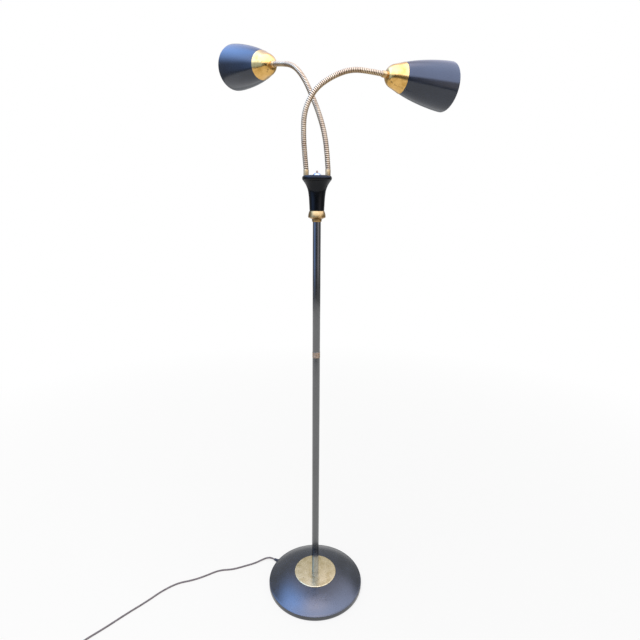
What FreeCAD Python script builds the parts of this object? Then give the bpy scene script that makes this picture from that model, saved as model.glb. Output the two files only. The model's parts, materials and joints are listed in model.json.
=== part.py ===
import FreeCAD, Part
import math
import os
import Sketcher

# Adjustable floor lamp with two bending necks.  Millimetres, +Z up.  The origin
# is the centre of the felt under the base, so the lamp stands on the plane z = 0.
# The front is -Y.  "right" and "left" name the side that each shade reaches.

doc = FreeCAD.newDocument("floor_lamp")
sheet = doc.addObject("Spreadsheet::Sheet", "Sizes")
UP = FreeCAD.Vector(0, 0, 1)
ORIGIN = FreeCAD.Vector(0, 0, 0)


class Size:
    """A length or angle that carries its number and the sheet expression it comes from."""

    def __init__(self, number, text):
        self.number = float(number)
        self.text = text

    def __float__(self):
        return self.number

    def joined(self, other, sign, number):
        text = other.text if isinstance(other, Size) else repr(float(other))
        return Size(number, "(%s %s %s)" % (self.text, sign, text))

    def __add__(self, other):
        return self.joined(other, "+", self.number + float(other))

    def __sub__(self, other):
        return self.joined(other, "-", self.number - float(other))

    def __mul__(self, other):
        return self.joined(other, "*", self.number * float(other))

    def __truediv__(self, other):
        return self.joined(other, "/", self.number / float(other))


def cell(alias, number, note):
    """Write one driving size in the sheet and return it."""
    row = cell.next_row
    cell.next_row += 1
    sheet.set("A%d" % row, alias)
    sheet.set("B%d" % row, str(number))
    sheet.set("C%d" % row, note)
    sheet.setAlias("B%d" % row, alias)
    return Size(number, "Sizes." + alias)


cell.next_row = 1
ZERO = Size(0, "0")

# ---- driving sizes -------------------------------------------------------------

# fits and clearances
push_fit = cell("push_fit", 0.05, "radial play of pieces pushed or screwed together")
running_gap = cell("running_gap", 0.3, "gap between faces that slide or turn past each other")

# base
felt_inset = cell("felt_inset", 6.0, "edge of the felt inside that of the cover")
felt_thickness = cell("felt_thickness", 2.0, "felt disc")
base_radius = cell("base_radius", 140.0, "outside of the spun cover")
cover_wall = cell("cover_wall", 1.2, "sheet of the spun cover")
lip_foot = cell("lip_foot", 1.0, "lower edge of the lip above the floor")
lip_height = cell("lip_height", 13.6, "top of the upright lip")
shoulder_width = cell("shoulder_width", 1.5, "rounding between lip and dome, across")
shoulder_drop = cell("shoulder_drop", 1.0, "the same rounding, down")
dome_rise = cell("dome_rise", 4.6, "how far the dome bulges above a straight cone")
crown_radius = cell("crown_radius", 60.0, "flat crown of the cover")
crown_height = cell("crown_height", 38.2, "top of the flat crown")
iron_inset = cell("iron_inset", 22.0, "edge of the cast-iron weight inside that of the cover")
iron_rim = cell("iron_rim", 14.0, "thickness of the weight at its rim")
iron_slope = cell("iron_slope", 10.0, "rise of the weight from its rim to its boss")
iron_boss = cell("iron_boss", 30.0, "radius of the raised boss")
boss_flare = cell("boss_flare", 6.0, "how much wider the boss is at its foot")
well_radius = cell("well_radius", 15.0, "well under the weight for the nut")
well_depth = cell("well_depth", 22.0, "depth of that well")
channel_play = cell("channel_play", 3.0, "slot under the weight wider than the lead")
channel_past = cell("channel_past", 5.0, "cut of that slot past the weight's edge")
disc_overhang = cell("disc_overhang", 2.3, "brass disc past the flat crown")
disc_thickness = cell("disc_thickness", 1.8, "brass disc")
disc_edge = cell("disc_edge", 1.2, "rounding of its upper edge")

# threaded tube and fasteners
nipple_radius = cell("nipple_radius", 5.0, "threaded tube, outside")
nipple_bore = cell("nipple_bore", 3.6, "threaded tube, inside")
nut_flats = cell("nut_flats", 17.0, "hexagon nut across its flats")
nut_height = cell("nut_height", 5.0, "hexagon nut")
washer_radius = cell("washer_radius", 12.0, "washer")
washer_thickness = cell("washer_thickness", 1.5, "washer")
thread_tail = cell("thread_tail", 1.0, "thread that shows past a nut")
plug_height = cell("plug_height", 20.0, "threaded plug in a tube's end")
thread_short = cell("thread_short", 2.0, "end of a threaded tube short of its hole's end")

# pole
pole_radius = cell("pole_radius", 10.0, "outside of both tubes")
pole_wall = cell("pole_wall", 1.2, "wall of both tubes")
lower_tube = cell("lower_tube", 688.5, "length of the lower tube")
upper_tube = cell("upper_tube", 340.0, "length of the upper tube")
band_height = cell("band_height", 15.5, "visible band of the coupling")
band_proud = cell("band_proud", 0.3, "band proud of the tubes")
band_groove = cell("band_groove", 0.5, "depth of the two grooves in the band")
groove_width = cell("groove_width", 1.4, "width of each groove")
spigot_length = cell("spigot_length", 20.0, "part of the coupling inside each tube")

# head
cone_height = cell("cone_height", 6.7, "brass cone on top of the pole")
cone_proud = cell("cone_proud", 1.5, "its lower edge proud of the pole")
cone_flare = cell("cone_flare", 1.0, "its upper radius larger than its lower one")
collar_height = cell("collar_height", 19.6, "brass collar under the head")
collar_rim = cell("collar_rim", 21.7, "radius of its rim")
collar_dish = cell("collar_dish", 4.2, "height of its underside, from the cone up to the rim")
collar_bulge = cell("collar_bulge", 0.9, "how far its side bulges above a straight cone")
collar_lip = cell("collar_lip", 0.3, "its top past the foot of the head")
head_height = cell("head_height", 70.7, "moulded trumpet up to the lid")
head_low = cell("head_low", 18.1, "its radius at the collar")
head_top = cell("head_top", 33.2, "its radius under the lid")
head_wall = cell("head_wall", 3.0, "moulded wall")
head_floor = cell("head_floor", 4.0, "moulded floor")
floor_corner = cell("floor_corner", 8.0, "height over which floor and wall run together")
lid_height = cell("lid_height", 13.3, "moulded lid with its rounded bead")
lid_bead = cell("lid_bead", 3.1, "bead proud of the trumpet")
lid_wall = cell("lid_wall", 3.0, "top wall of the lid")
lid_ledge = cell("lid_ledge", 4.0, "sloping ledge inside the lid")
lid_cheek = cell("lid_cheek", 0.2, "inside of the lid short of the trumpet's edge")
foot_offset = cell("foot_offset", 26.5, "each neck from the middle of the lid")
foot_height = cell("foot_height", 13.7, "brass foot of a neck above the lid")
stud_radius = cell("stud_radius", 4.0, "threaded stud under a neck's foot")
stud_bore = cell("stud_bore", 2.6, "hole for the wires through foot and stud")
stud_nut_flats = cell("stud_nut_flats", 10.5, "nut under the lid, across its flats")
stud_nut_height = cell("stud_nut_height", 4.0, "nut under the lid")

# push switch
switch_radius = cell("switch_radius", 9.0, "switch body in the head")
switch_height = cell("switch_height", 18.0, "switch body in the head")
bush_radius = cell("bush_radius", 4.5, "threaded bush of the switch")
bezel_radius = cell("bezel_radius", 10.5, "domed nut on the lid")
bezel_height = cell("bezel_height", 6.0, "domed nut on the lid")
bezel_edge = cell("bezel_edge", 1.2, "upright edge of the domed nut")
bezel_rise = cell("bezel_rise", 1.11, "how far its dome bulges above a straight cone")
bezel_wall = cell("bezel_wall", 2.0, "top of the domed nut over the bush")
button_round = cell("button_round", 1.2, "rounding of the button's top")
button_room = cell("button_room", 4.0, "hole under the button for its travel")
button_radius = cell("button_radius", 2.2, "push button")
button_above = cell("button_above", 5.5, "button above the domed nut")
button_inside = cell("button_inside", 12.0, "button below the lid")

# necks
neck_radius = cell("neck_radius", 6.35, "outside of a bending neck")
neck_bore = cell("neck_bore", 4.2, "inside radius of a bending neck")
neck_pitch = cell("neck_pitch", 53.0, "length of one stretch of neck")
cup_depth = cell("cup_depth", 3.5, "rim of a cup before the middle of its ball")
ferrule_length = cell("ferrule_length", 13.0, "brass ferrule between neck and shade")
ferrule_proud = cell("ferrule_proud", 1.65, "brass ferrule proud of the neck")
ferrule_floor = cell("ferrule_floor", 3.0, "end of the holder's threaded tube in the ferrule")

# shades
shade_length = cell("shade_length", 173.0, "shade from its flat end to its mouth")
mouth_radius = cell("mouth_radius", 59.6, "outside of the mouth")
shade_wall = cell("shade_wall", 0.8, "sheet of shade and cap")
cap_length = cell("cap_length", 42.0, "brass cap along the shade")
cap_lap = cell("cap_lap", 6.0, "painted shell tucked under the cap")
cap_fit = cell("cap_fit", 0.25, "radial play between shell and cap")
cap_level = cell("cap_level", 8.0, "stretch before the shell where the cap is fully proud")
holder_gap = cell("holder_gap", 3.0, "lamp holder past the end of the shade")
holder_play = cell("holder_play", 0.6, "radial play of the bulb's cap in its holder")
holder_wall = cell("holder_wall", 2.0, "end wall of the lamp holder")
holder_neck = cell("holder_neck", 9.0, "narrow end of the lamp holder")
holder_radius = cell("holder_radius", 17.5, "lamp holder")
holder_step = cell("holder_step", 10.0, "length of its narrow end")
holder_length = cell("holder_length", 52.0, "lamp holder")
bulb_cap_radius = cell("bulb_cap_radius", 13.0, "screw cap of the bulb")
bulb_cap_length = cell("bulb_cap_length", 24.0, "screw cap of the bulb")
bulb_sunk = cell("bulb_sunk", 2.0, "screw cap below the holder's rim")
contact_radius = cell("contact_radius", 5.85, "end contact of the bulb")
contact_height = cell("contact_height", 2.0, "cone between contact and screw cap")
bulb_radius = cell("bulb_radius", 30.0, "glass of the bulb")
bulb_length = cell("bulb_length", 84.0, "glass of the bulb")
glass_wall = cell("glass_wall", 0.8, "glass of the bulb")

# mains lead
lead_radius = cell("lead_radius", 2.5, "mains lead")
exit_angle = cell("exit_angle", 149.0, "direction in which the lead leaves the base")
exit_lift = cell("exit_lift", 0.3, "sleeve above the felt where the lead leaves the base")
relief_inside = cell("relief_inside", 8.0, "rubber sleeve inside the lip")
relief_outside = cell("relief_outside", 14.0, "rubber sleeve outside the lip")
relief_wall = cell("relief_wall", 2.7, "rubber round the lead at the lip")
relief_tip_wall = cell("relief_tip_wall", 1.1, "rubber round the lead at its tip")
flange_proud = cell("flange_proud", 0.7, "flange proud of the sleeve")
flange_thickness = cell("flange_thickness", 1.2, "flange against the lip")
lead_straight = cell("lead_straight", 14.0, "lead straight out of its sleeve")
lead_bend = cell("lead_bend", 11.0, "bend of the lead under the pole")
lead_end = cell("lead_end", 12.0, "hidden lead past the nut in the head")
coil_outer = cell("coil_outer", 38.3, "put-away coil, outside")
coil_across = cell("coil_across", 4.2, "leads side by side in the coil, in diameters")
coil_layers = cell("coil_layers", 2.08, "leads on top of each other, in diameters")
tie_angle = cell("tie_angle", 40.0, "where the band goes round the coil")
tie_thickness = cell("tie_thickness", 0.8, "band round the coil")
tie_width = cell("tie_width", 8.0, "band round the coil")
plug_length = cell("plug_length", 28.0, "plug body")
plug_width = cell("plug_width", 24.0, "plug body")
plug_thickness = cell("plug_thickness", 15.4, "plug body")
plug_sleeve = cell("plug_sleeve", 20.0, "tapered sleeve of the plug")
plug_root_wall = cell("plug_root_wall", 4.2, "that sleeve round the lead at the plug")
plug_edge = cell("plug_edge", 3.0, "rounding of the plug's edges")
pin_spacing = cell("pin_spacing", 12.7, "between the two pins")
pin_length = cell("pin_length", 17.0, "pins beyond the plug")
pin_width = cell("pin_width", 6.3, "pin")
pin_thickness = cell("pin_thickness", 1.5, "pin")

# ---- shared curves -------------------------------------------------------------

# outline of a shade: share of its length, share of its mouth radius
SHADE_CURVE = (
    (0.0, 0.235), (0.025, 0.33), (0.069, 0.415), (0.16, 0.5), (0.3, 0.646),
    (0.46, 0.77), (0.64, 0.877), (0.82, 0.956), (0.93, 0.99), (1.0, 1.0),
)
# outline of the trumpet: share of its height, share of the way from its low to its top radius
TRUMPET_CURVE = (
    (0.0, 0.0), (0.24, 0.055), (0.44, 0.113), (0.57, 0.18), (0.67, 0.25),
    (0.74, 0.34), (0.8, 0.445), (0.87, 0.59), (0.94, 0.79), (1.0, 1.0),
)
# glass of a bulb: share of its length, share of its radius
BULB_CURVE = (
    (0.0, 0.42), (0.1, 0.44), (0.25, 0.6), (0.42, 0.85), (0.62, 1.0), (0.8, 0.88),
    (0.93, 0.55), (0.985, 0.25),
)
SAMPLES = 9
# share of a quarter circle's radius that its middle lies inside its corner
QUARTER = 1 - math.sqrt(0.5)

# each neck: side of the lid, direction that it leans, lean at its foot, and the
# bend of each stretch, all in degrees; +1 puts its foot on the +X side
NECKS = {
    "right": (-1, 19.8, -6.0, (1.5, 7.0, 26.0, 26.5, 13.5, 23.0, 3.5)),
    "left": (1, 131.9, 5.5, (4.5, 13.0, 8.0, 3.0, 14.5, 27.5, 6.5)),
}
STRAIGHT = 0.05  # degrees: a smaller bend than this counts as straight


def share_at(curve, place):
    """Value of a smooth curve through (place, value) pairs, by cubic Hermite pieces."""
    def slope(i):
        low = max(i - 1, 0)
        high = min(i + 1, len(curve) - 1)
        return (curve[high][1] - curve[low][1]) / (curve[high][0] - curve[low][0])

    last = len(curve) - 2
    i = next((k for k in range(last) if place <= curve[k + 1][0]), last)
    step = curve[i + 1][0] - curve[i][0]
    u = (place - curve[i][0]) / step
    return (
        (1 + 2 * u) * (1 - u) ** 2 * curve[i][1]
        + u * (1 - u) ** 2 * step * slope(i)
        + u * u * (3 - 2 * u) * curve[i + 1][1]
        + u * u * (u - 1) * step * slope(i + 1)
    )


def shade_radius(along):
    """Outside radius of a shade at a distance from its flat end."""
    return float(mouth_radius) * share_at(SHADE_CURVE, along / float(shade_length))


# ---- building blocks -----------------------------------------------------------

nodes = []


def keep(thing, place=None):
    """Note a finished sub-part, and place it."""
    if place is not None:
        thing.Placement = place
    nodes.append(thing)
    return thing


def bind(thing, name, size):
    """Tie a property to the sheet."""
    setattr(thing, name, float(size))
    thing.setExpression(name, size.text)


def origin_plane(body, role):
    return next(f for f in body.Origin.OriginFeatures if f.Role == role)


def sketch_on(body, role, name):
    sketch = body.newObject("Sketcher::SketchObject", name)
    sketch.AttachmentSupport = [(origin_plane(body, role), "")]
    sketch.MapMode = "FlatFace"
    return sketch


def hold_point(sketch, line, end, x, y):
    """Hold one end of a line at sizes from the sheet, or on an axis where it is zero."""
    for kind, axis, size in (("DistanceX", -2, x), ("DistanceY", -1, y)):
        if float(size) == 0:
            sketch.addConstraint(Sketcher.Constraint("PointOnObject", line, end, axis))
            continue
        index = sketch.addConstraint(
            Sketcher.Constraint(kind, -1, 1, line, end, float(size))
        )
        if isinstance(size, Size):
            sketch.setExpression("Constraints[%d]" % index, size.text)


def closed_outline(sketch, outline):
    """Draw straight lines round the points (x, y) and hold each corner."""
    count = len(outline)
    for i in range(count):
        start = FreeCAD.Vector(float(outline[i][0]), float(outline[i][1]), 0)
        end_point = outline[(i + 1) % count]
        end = FreeCAD.Vector(float(end_point[0]), float(end_point[1]), 0)
        sketch.addGeometry(Part.LineSegment(start, end), False)
    for i in range(count):
        sketch.addConstraint(Sketcher.Constraint("Coincident", i, 2, (i + 1) % count, 1))
    for i in range(count):
        hold_point(sketch, i, 1, outline[i][0], outline[i][1])


def turned(label, outline, place=None):
    """A lathe-turned piece: the outline (radius, height) revolved about its Z axis."""
    body = doc.addObject("PartDesign::Body", label)
    sketch = sketch_on(body, "XZ_Plane", label + "_outline")
    closed_outline(sketch, outline)
    feature = body.newObject("PartDesign::Revolution", label + "_turn")
    feature.Profile = sketch
    feature.ReferenceAxis = (sketch, ["V_Axis"])
    feature.Angle = 360
    body.Tip = feature
    return keep(body, place)


def tube(label, outside, inside, low, high, place=None):
    """A plain round tube or ring, turned."""
    return turned(
        label, [(inside, low), (outside, low), (outside, high), (inside, high)], place
    )


def hexagon_nut(label, flats, bore, low, height, middles):
    """Hexagon nuts on upright threads, one at each (x, y)."""
    solids = []
    corner = float(flats) / math.sqrt(3)
    for x, y in middles:
        ring = [
            FreeCAD.Vector(
                x + corner * math.cos(math.radians(60 * k)),
                y + corner * math.sin(math.radians(60 * k)),
                float(low),
            )
            for k in range(7)
        ]
        block = Part.Face(Part.makePolygon(ring)).extrude(UP * float(height))
        hole = Part.makeCylinder(float(bore), float(height), FreeCAD.Vector(x, y, float(low)))
        solids.append(block.cut(hole))
    return shaped(label, solids[0] if len(solids) == 1 else Part.makeCompound(solids))


def shaped(label, shape, place=None):
    """A piece whose shape is a curve or a boolean of curves."""
    feature = doc.addObject("Part::Feature", label)
    feature.Shape = shape
    return keep(feature, place)


def spun(edges):
    """Solid of revolution about Z from edges in the XZ plane that close a loop."""
    wire = Part.Wire(Part.__sortEdges__(edges))
    return Part.Face(wire).revolve(ORIGIN, UP, 360)


def at(radius, height):
    return FreeCAD.Vector(float(radius), 0, float(height))


def line(a, b):
    return Part.LineSegment(a, b).toShape()


def arc(a, b, c):
    return Part.Arc(a, b, c).toShape()


def bulged(start, end, rise):
    """Middle of the arc from start to end that bulges by rise to the right of its way."""
    way = (end - start).normalize()
    return (start + end) * 0.5 + FreeCAD.Vector(way.z, 0, -way.x) * float(rise)


def smooth(points):
    """One smooth curve through the points."""
    curve = Part.BSplineCurve()
    curve.interpolate(points)
    return curve.toShape()


def inset(points, depth):
    """The same curve moved to its left by a wall, seen along its way."""
    moved = []
    for i, point in enumerate(points):
        way = points[min(i + 1, len(points) - 1)] - points[max(i - 1, 0)]
        way.normalize()
        moved.append(point + FreeCAD.Vector(-way.z, 0, way.x) * float(depth))
    return moved


def sheet_shell(points, wall):
    """A spun sheet: the outer curve, its inner copy, and the two rims."""
    inner = inset(points, wall)
    return spun([
        smooth(points), smooth(inner), line(points[0], inner[0]), line(points[-1], inner[-1])
    ])


def stations(start, stop):
    return [start + (stop - start) * k / (SAMPLES - 1) for k in range(SAMPLES)]


# ---- base ----------------------------------------------------------------------

relief_root = lead_radius + relief_wall
exit_height = felt_thickness + relief_root + exit_lift
felt_radius = base_radius - felt_inset
iron_radius = base_radius - iron_inset
disc_radius = crown_radius + disc_overhang
iron_crown = crown_height - cover_wall
well_top = felt_thickness + well_depth

turned("felt_pad", [
    (ZERO, ZERO), (felt_radius, ZERO), (felt_radius, felt_thickness), (ZERO, felt_thickness)
])

iron_bore = nipple_radius + push_fit
iron_step = felt_thickness + iron_rim + iron_slope
weight = turned("base_weight", [
    (well_radius, felt_thickness),
    (iron_radius, felt_thickness),
    (iron_radius, felt_thickness + iron_rim),
    (iron_boss + boss_flare, iron_step),
    (iron_boss, iron_crown),
    (iron_bore, iron_crown),
    (iron_bore, well_top),
    (well_radius, well_top),
])
slot = sketch_on(weight, "XY_Plane", "lead_slot")
slot_side = lead_radius + channel_play / 2
slot_end = iron_radius + channel_past
for start, stop in (((0, -1), (1, -1)), ((1, -1), (1, 1)), ((1, 1), (0, 1)), ((0, 1), (0, -1))):
    ends = [
        FreeCAD.Vector(float(slot_end) * x, float(slot_side) * y, 0) for x, y in (start, stop)
    ]
    slot.addGeometry(Part.LineSegment(ends[0], ends[1]), False)
for i in range(4):
    slot.addConstraint(Sketcher.Constraint("Coincident", i, 2, (i + 1) % 4, 1))
for i, (x, y) in enumerate(((0, -1), (1, -1), (1, 1), (0, 1))):
    hold_point(slot, i, 1, slot_end * x, slot_side * y)
slot_cut = weight.newObject("PartDesign::Pocket", "lead_slot_cut")
slot_cut.Profile = slot
slot_cut.Reversed = True
bind(slot_cut, "Length", exit_height + lead_radius)
weight.Tip = slot_cut
weight.Placement = FreeCAD.Placement(ORIGIN, FreeCAD.Rotation(UP, float(exit_angle)))

cover_foot = at(base_radius, lip_foot)
cover_lip = at(base_radius, lip_height - shoulder_drop)
cover_turn = at(
    base_radius - shoulder_width * QUARTER, lip_height - shoulder_drop * QUARTER
)
cover_shoulder = at(base_radius - shoulder_width, lip_height)
cover_crown = at(crown_radius, crown_height)
cover_middle = bulged(cover_shoulder, cover_crown, dome_rise)
inner_foot = at(base_radius - cover_wall, lip_foot)
inner_lip = at(base_radius - cover_wall, lip_height - cover_wall)
inner_middle = bulged(cover_shoulder, cover_crown, dome_rise - cover_wall)
inner_crown = at(crown_radius, iron_crown)
cover = spun([
    line(cover_foot, cover_lip),
    arc(cover_lip, cover_turn, cover_shoulder),
    arc(cover_shoulder, cover_middle, cover_crown),
    line(cover_crown, at(iron_bore, crown_height)),
    line(at(iron_bore, crown_height), at(iron_bore, iron_crown)),
    line(at(iron_bore, iron_crown), inner_crown),
    arc(inner_crown, inner_middle, inner_lip),
    line(inner_lip, inner_foot),
    line(inner_foot, cover_foot),
])
away = FreeCAD.Vector(
    math.cos(math.radians(float(exit_angle))), math.sin(math.radians(float(exit_angle))), 0
)
lead_way = away * float(base_radius) + UP * float(exit_height)
hole = Part.makeCylinder(
    float(relief_root + push_fit), 2 * float(relief_inside),
    lead_way - away * float(relief_inside), away,
)
shaped("base_cover", cover.cut(hole))

disc_top = crown_height + disc_thickness
disc_round = disc_edge * QUARTER
shaped("base_disc", spun([
    line(at(iron_bore, crown_height), at(disc_radius, crown_height)),
    line(at(disc_radius, crown_height), at(disc_radius, disc_top - disc_edge)),
    arc(
        at(disc_radius, disc_top - disc_edge),
        at(disc_radius - disc_round, disc_top - disc_round),
        at(disc_radius - disc_edge, disc_top),
    ),
    line(at(disc_radius - disc_edge, disc_top), at(iron_bore, disc_top)),
    line(at(iron_bore, disc_top), at(iron_bore, crown_height)),
]))

washer_low = well_top - washer_thickness
nut_low = washer_low - nut_height
nipple_low = nut_low - thread_tail
tube("base_washer", washer_radius, iron_bore, washer_low, well_top)
hexagon_nut("base_nut", nut_flats, iron_bore, nut_low, nut_height, [(0, 0)])
tube("base_nipple", nipple_radius, nipple_bore, nipple_low, disc_top + plug_height - thread_short)

# ---- pole ----------------------------------------------------------------------

pole_bore = pole_radius - pole_wall
plug_side = pole_bore - push_fit
band_low = disc_top + lower_tube
band_high = band_low + band_height
pole_top = band_high + upper_tube
tube("pole_lower", pole_radius, pole_bore, disc_top, band_low)
tube("pole_upper", pole_radius, pole_bore, band_high, pole_top)
tube("pole_foot_plug", plug_side, iron_bore, disc_top, disc_top + plug_height)
tube("pole_top_plug", plug_side, iron_bore, pole_top - plug_height, pole_top)

band = pole_radius + band_proud
groove = band - band_groove
ring = (band_height - groove_width * 2) / 3
first = band_low + ring
second = first + groove_width + ring
turned("pole_coupling", [
    (nipple_bore, band_low - spigot_length), (plug_side, band_low - spigot_length),
    (plug_side, band_low), (band, band_low),
    (band, first), (groove, first), (groove, first + groove_width), (band, first + groove_width),
    (band, second), (groove, second), (groove, second + groove_width),
    (band, second + groove_width), (band, band_high), (plug_side, band_high),
    (plug_side, band_high + spigot_length), (nipple_bore, band_high + spigot_length),
])

# ---- head ----------------------------------------------------------------------

cone_top = pole_top + cone_height
collar_top = cone_top + collar_height
lid_low = collar_top + head_height
lid_top = lid_low + lid_height
lid_under = lid_top - lid_wall
cone_low = pole_radius + cone_proud
cone_high = cone_low + cone_flare
turned("neck_cone", [
    (iron_bore, pole_top), (cone_low, pole_top), (cone_high, cone_top), (iron_bore, cone_top)
])
collar_foot = at(cone_high, cone_top)
collar_edge = at(collar_rim, cone_top + collar_dish)
collar_crown = at(head_low + collar_lip, collar_top)
shaped("head_collar", spun([
    line(at(iron_bore, cone_top), collar_foot),
    line(collar_foot, collar_edge),
    arc(collar_edge, bulged(collar_edge, collar_crown, collar_bulge), collar_crown),
    line(collar_crown, at(iron_bore, collar_top)),
    line(at(iron_bore, collar_top), at(iron_bore, cone_top)),
]))
head_nut_low = collar_top + head_floor
tube(
    "head_nipple", nipple_radius, nipple_bore,
    pole_top - plug_height + thread_short, head_nut_low + nut_height + thread_tail,
)
hexagon_nut("head_nut", nut_flats, iron_bore, head_nut_low, nut_height, [(0, 0)])

trumpet = [
    at(
        head_low + (head_top - head_low) * share_at(TRUMPET_CURVE, place),
        collar_top + head_height * place,
    )
    for place in stations(0, 1)
]
cavity_floor = at(head_low - head_wall, collar_top + head_floor)
trumpet_inner = inset(trumpet, head_wall)[1:-1]
trumpet_rim = at(head_top - head_wall, lid_low)
corner_top = cavity_floor.z + float(floor_corner)
cavity = [cavity_floor] + [p for p in trumpet_inner if p.z > corner_top] + [trumpet_rim]
shaped("head_shell", spun([
    smooth(trumpet),
    line(trumpet[-1], trumpet_rim),
    smooth(cavity),
    line(cavity_floor, at(iron_bore, cavity_floor.z)),
    line(at(iron_bore, cavity_floor.z), at(iron_bore, collar_top)),
    line(at(iron_bore, collar_top), trumpet[0]),
]))

lid_room = head_top - lid_cheek
bead_middle = at(head_top + lid_bead, lid_low + lid_height / 2)
lid = spun([
    arc(at(head_top, lid_low), bead_middle, at(head_top, lid_top)),
    line(at(head_top, lid_top), at(0, lid_top)),
    line(at(0, lid_top), at(0, lid_under)),
    line(at(0, lid_under), at(lid_room, lid_under)),
    line(at(lid_room, lid_under), at(lid_room, lid_low + lid_ledge)),
    line(at(lid_room, lid_low + lid_ledge), at(head_top - head_wall, lid_low)),
    line(at(head_top - head_wall, lid_low), at(head_top, lid_low)),
])
foot_middles = [(side * float(foot_offset), 0) for side in (-1, 1)]
for x, y, radius in [(0, 0, bush_radius)] + [(x, y, stud_radius) for x, y in foot_middles]:
    drill = Part.makeCylinder(
        float(radius + push_fit), 2 * float(lid_wall), FreeCAD.Vector(x, y, float(lid_under))
    )
    lid = lid.cut(drill)
shaped("head_lid", lid)
hexagon_nut(
    "neck_nuts", stud_nut_flats, stud_radius + push_fit,
    lid_under - stud_nut_height, stud_nut_height, foot_middles,
)

# ---- push switch ---------------------------------------------------------------

switch_low = lid_under - switch_height
bush_top = lid_top + bezel_height - bezel_wall
button_slide = button_radius + running_gap
button_low = lid_top - button_inside
switch_room = button_low - button_room
turned("switch_body", [
    (ZERO, switch_low), (switch_radius, switch_low), (switch_radius, lid_under),
    (bush_radius, lid_under), (bush_radius, bush_top), (button_slide, bush_top),
    (button_slide, switch_room), (ZERO, switch_room),
])
bezel_top = lid_top + bezel_height
bezel_bore = bush_radius + push_fit
bezel_shoulder = at(bezel_radius, lid_top + bezel_edge)
bezel_rim = at(button_slide, bezel_top)
shaped("switch_bezel", spun([
    line(at(bezel_bore, lid_top), at(bezel_radius, lid_top)),
    line(at(bezel_radius, lid_top), bezel_shoulder),
    arc(bezel_shoulder, bulged(bezel_shoulder, bezel_rim, bezel_rise), bezel_rim),
    line(bezel_rim, at(button_slide, bush_top + push_fit)),
    line(at(button_slide, bush_top + push_fit), at(bezel_bore, bush_top + push_fit)),
    line(at(bezel_bore, bush_top + push_fit), at(bezel_bore, lid_top)),
]))
button_top = bezel_top + button_above
button_flat = button_radius - button_round
button_shoulder = button_top - button_round
shaped("switch_button", spun([
    line(at(0, button_low), at(button_radius, button_low)),
    line(at(button_radius, button_low), at(button_radius, button_shoulder)),
    arc(
        at(button_radius, button_shoulder),
        at(button_radius - button_round * QUARTER, button_top - button_round * QUARTER),
        at(button_flat, button_top),
    ),
    line(at(button_flat, button_top), at(0, button_top)),
    line(at(0, button_top), at(0, button_low)),
]))

# ---- necks ---------------------------------------------------------------------


def cup_cut():
    """What a cup loses to the ball that turns in it, with the ball's middle at the origin."""
    ball = Part.makeSphere(float(neck_radius + running_gap))
    front = Part.makeCylinder(
        3 * float(neck_radius), 3 * float(neck_radius), UP * -float(cup_depth)
    )
    return ball.fuse(front)


def bent_rod(radius, bend):
    """A round rod one pitch long that starts up from the origin and bends towards +X."""
    disc = Part.Face(Part.Wire(Part.Circle(ORIGIN, UP, radius).toShape()))
    if abs(bend) < STRAIGHT:
        return disc.extrude(UP * float(neck_pitch))
    centre = FreeCAD.Vector(float(neck_pitch) / math.radians(bend), 0, 0)
    return disc.revolve(centre, FreeCAD.Vector(0, 1, 0), bend)


def bend_end(bend):
    """Where that rod ends: its end point and its turn about +Y, in degrees."""
    pitch = float(neck_pitch)
    if abs(bend) < STRAIGHT:
        return FreeCAD.Placement(UP * pitch, FreeCAD.Rotation())
    bow = pitch / math.radians(bend)
    turn = math.radians(bend)
    end = FreeCAD.Vector(bow * (1 - math.cos(turn)), 0, bow * math.sin(turn))
    return FreeCAD.Placement(end, FreeCAD.Rotation(FreeCAD.Vector(0, 1, 0), bend))


def neck_stretch(bend, cup):
    """A hollow stretch of neck with a ball at its start and, if asked, a cup at its end."""
    rod = bent_rod(float(neck_radius), bend).fuse(Part.makeSphere(float(neck_radius)))
    reach = float(neck_radius) + 1
    entry = Part.makeCylinder(float(neck_bore), reach, UP * -reach)
    rod = rod.cut(bent_rod(float(neck_bore), bend).fuse(entry))
    if cup:
        cutter = cup_cut()
        cutter.Placement = bend_end(bend)
        rod = rod.cut(cutter)
    return rod


def tell(side, number, place):
    """Print a ball's middle and its own X, Y and Z directions, for the joints."""
    axes = (FreeCAD.Vector(1, 0, 0), FreeCAD.Vector(0, 1, 0), UP)
    turned_axes = [place.Rotation.multVec(axis) for axis in axes]
    print("ball", side, number, *["%.4f" % v for v in place.Base],
          *["%.6f" % v for axis in turned_axes for v in axis])


stud_low = lid_under - stud_nut_height - thread_tail
foot = Part.makeCylinder(float(neck_radius), float(foot_height))
stud = Part.makeCylinder(
    float(stud_radius), float(lid_top - stud_low), FreeCAD.Vector(0, 0, -float(lid_top - stud_low))
)
passage = Part.makeCylinder(
    float(stud_bore), float(lid_top - stud_low + foot_height),
    FreeCAD.Vector(0, 0, -float(lid_top - stud_low)),
)
foot_cup = cup_cut()
foot_cup.Placement = FreeCAD.Placement(UP * float(foot_height), FreeCAD.Rotation())
foot_solid = foot.fuse(stud).cut(passage).cut(foot_cup)

neck_ends = {}
for side, (sign, lean_way, lean, bends) in NECKS.items():
    middle = FreeCAD.Vector(sign * float(foot_offset), 0, float(lid_top))
    shaped(side + "_neck_foot", foot_solid, FreeCAD.Placement(middle, FreeCAD.Rotation()))
    place = FreeCAD.Placement(
        middle + UP * float(foot_height),
        FreeCAD.Rotation(UP, lean_way) * FreeCAD.Rotation(FreeCAD.Vector(0, 1, 0), lean),
    )
    for number, bend in enumerate(bends, 1):
        last = number == len(bends)
        shaped("%s_neck_%d" % (side, number), neck_stretch(bend, not last), place)
        tell(side, number, place)
        place = place * bend_end(bend)
    neck_ends[side] = place
    tell(side, "end", place)

# ---- shades --------------------------------------------------------------------

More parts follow.
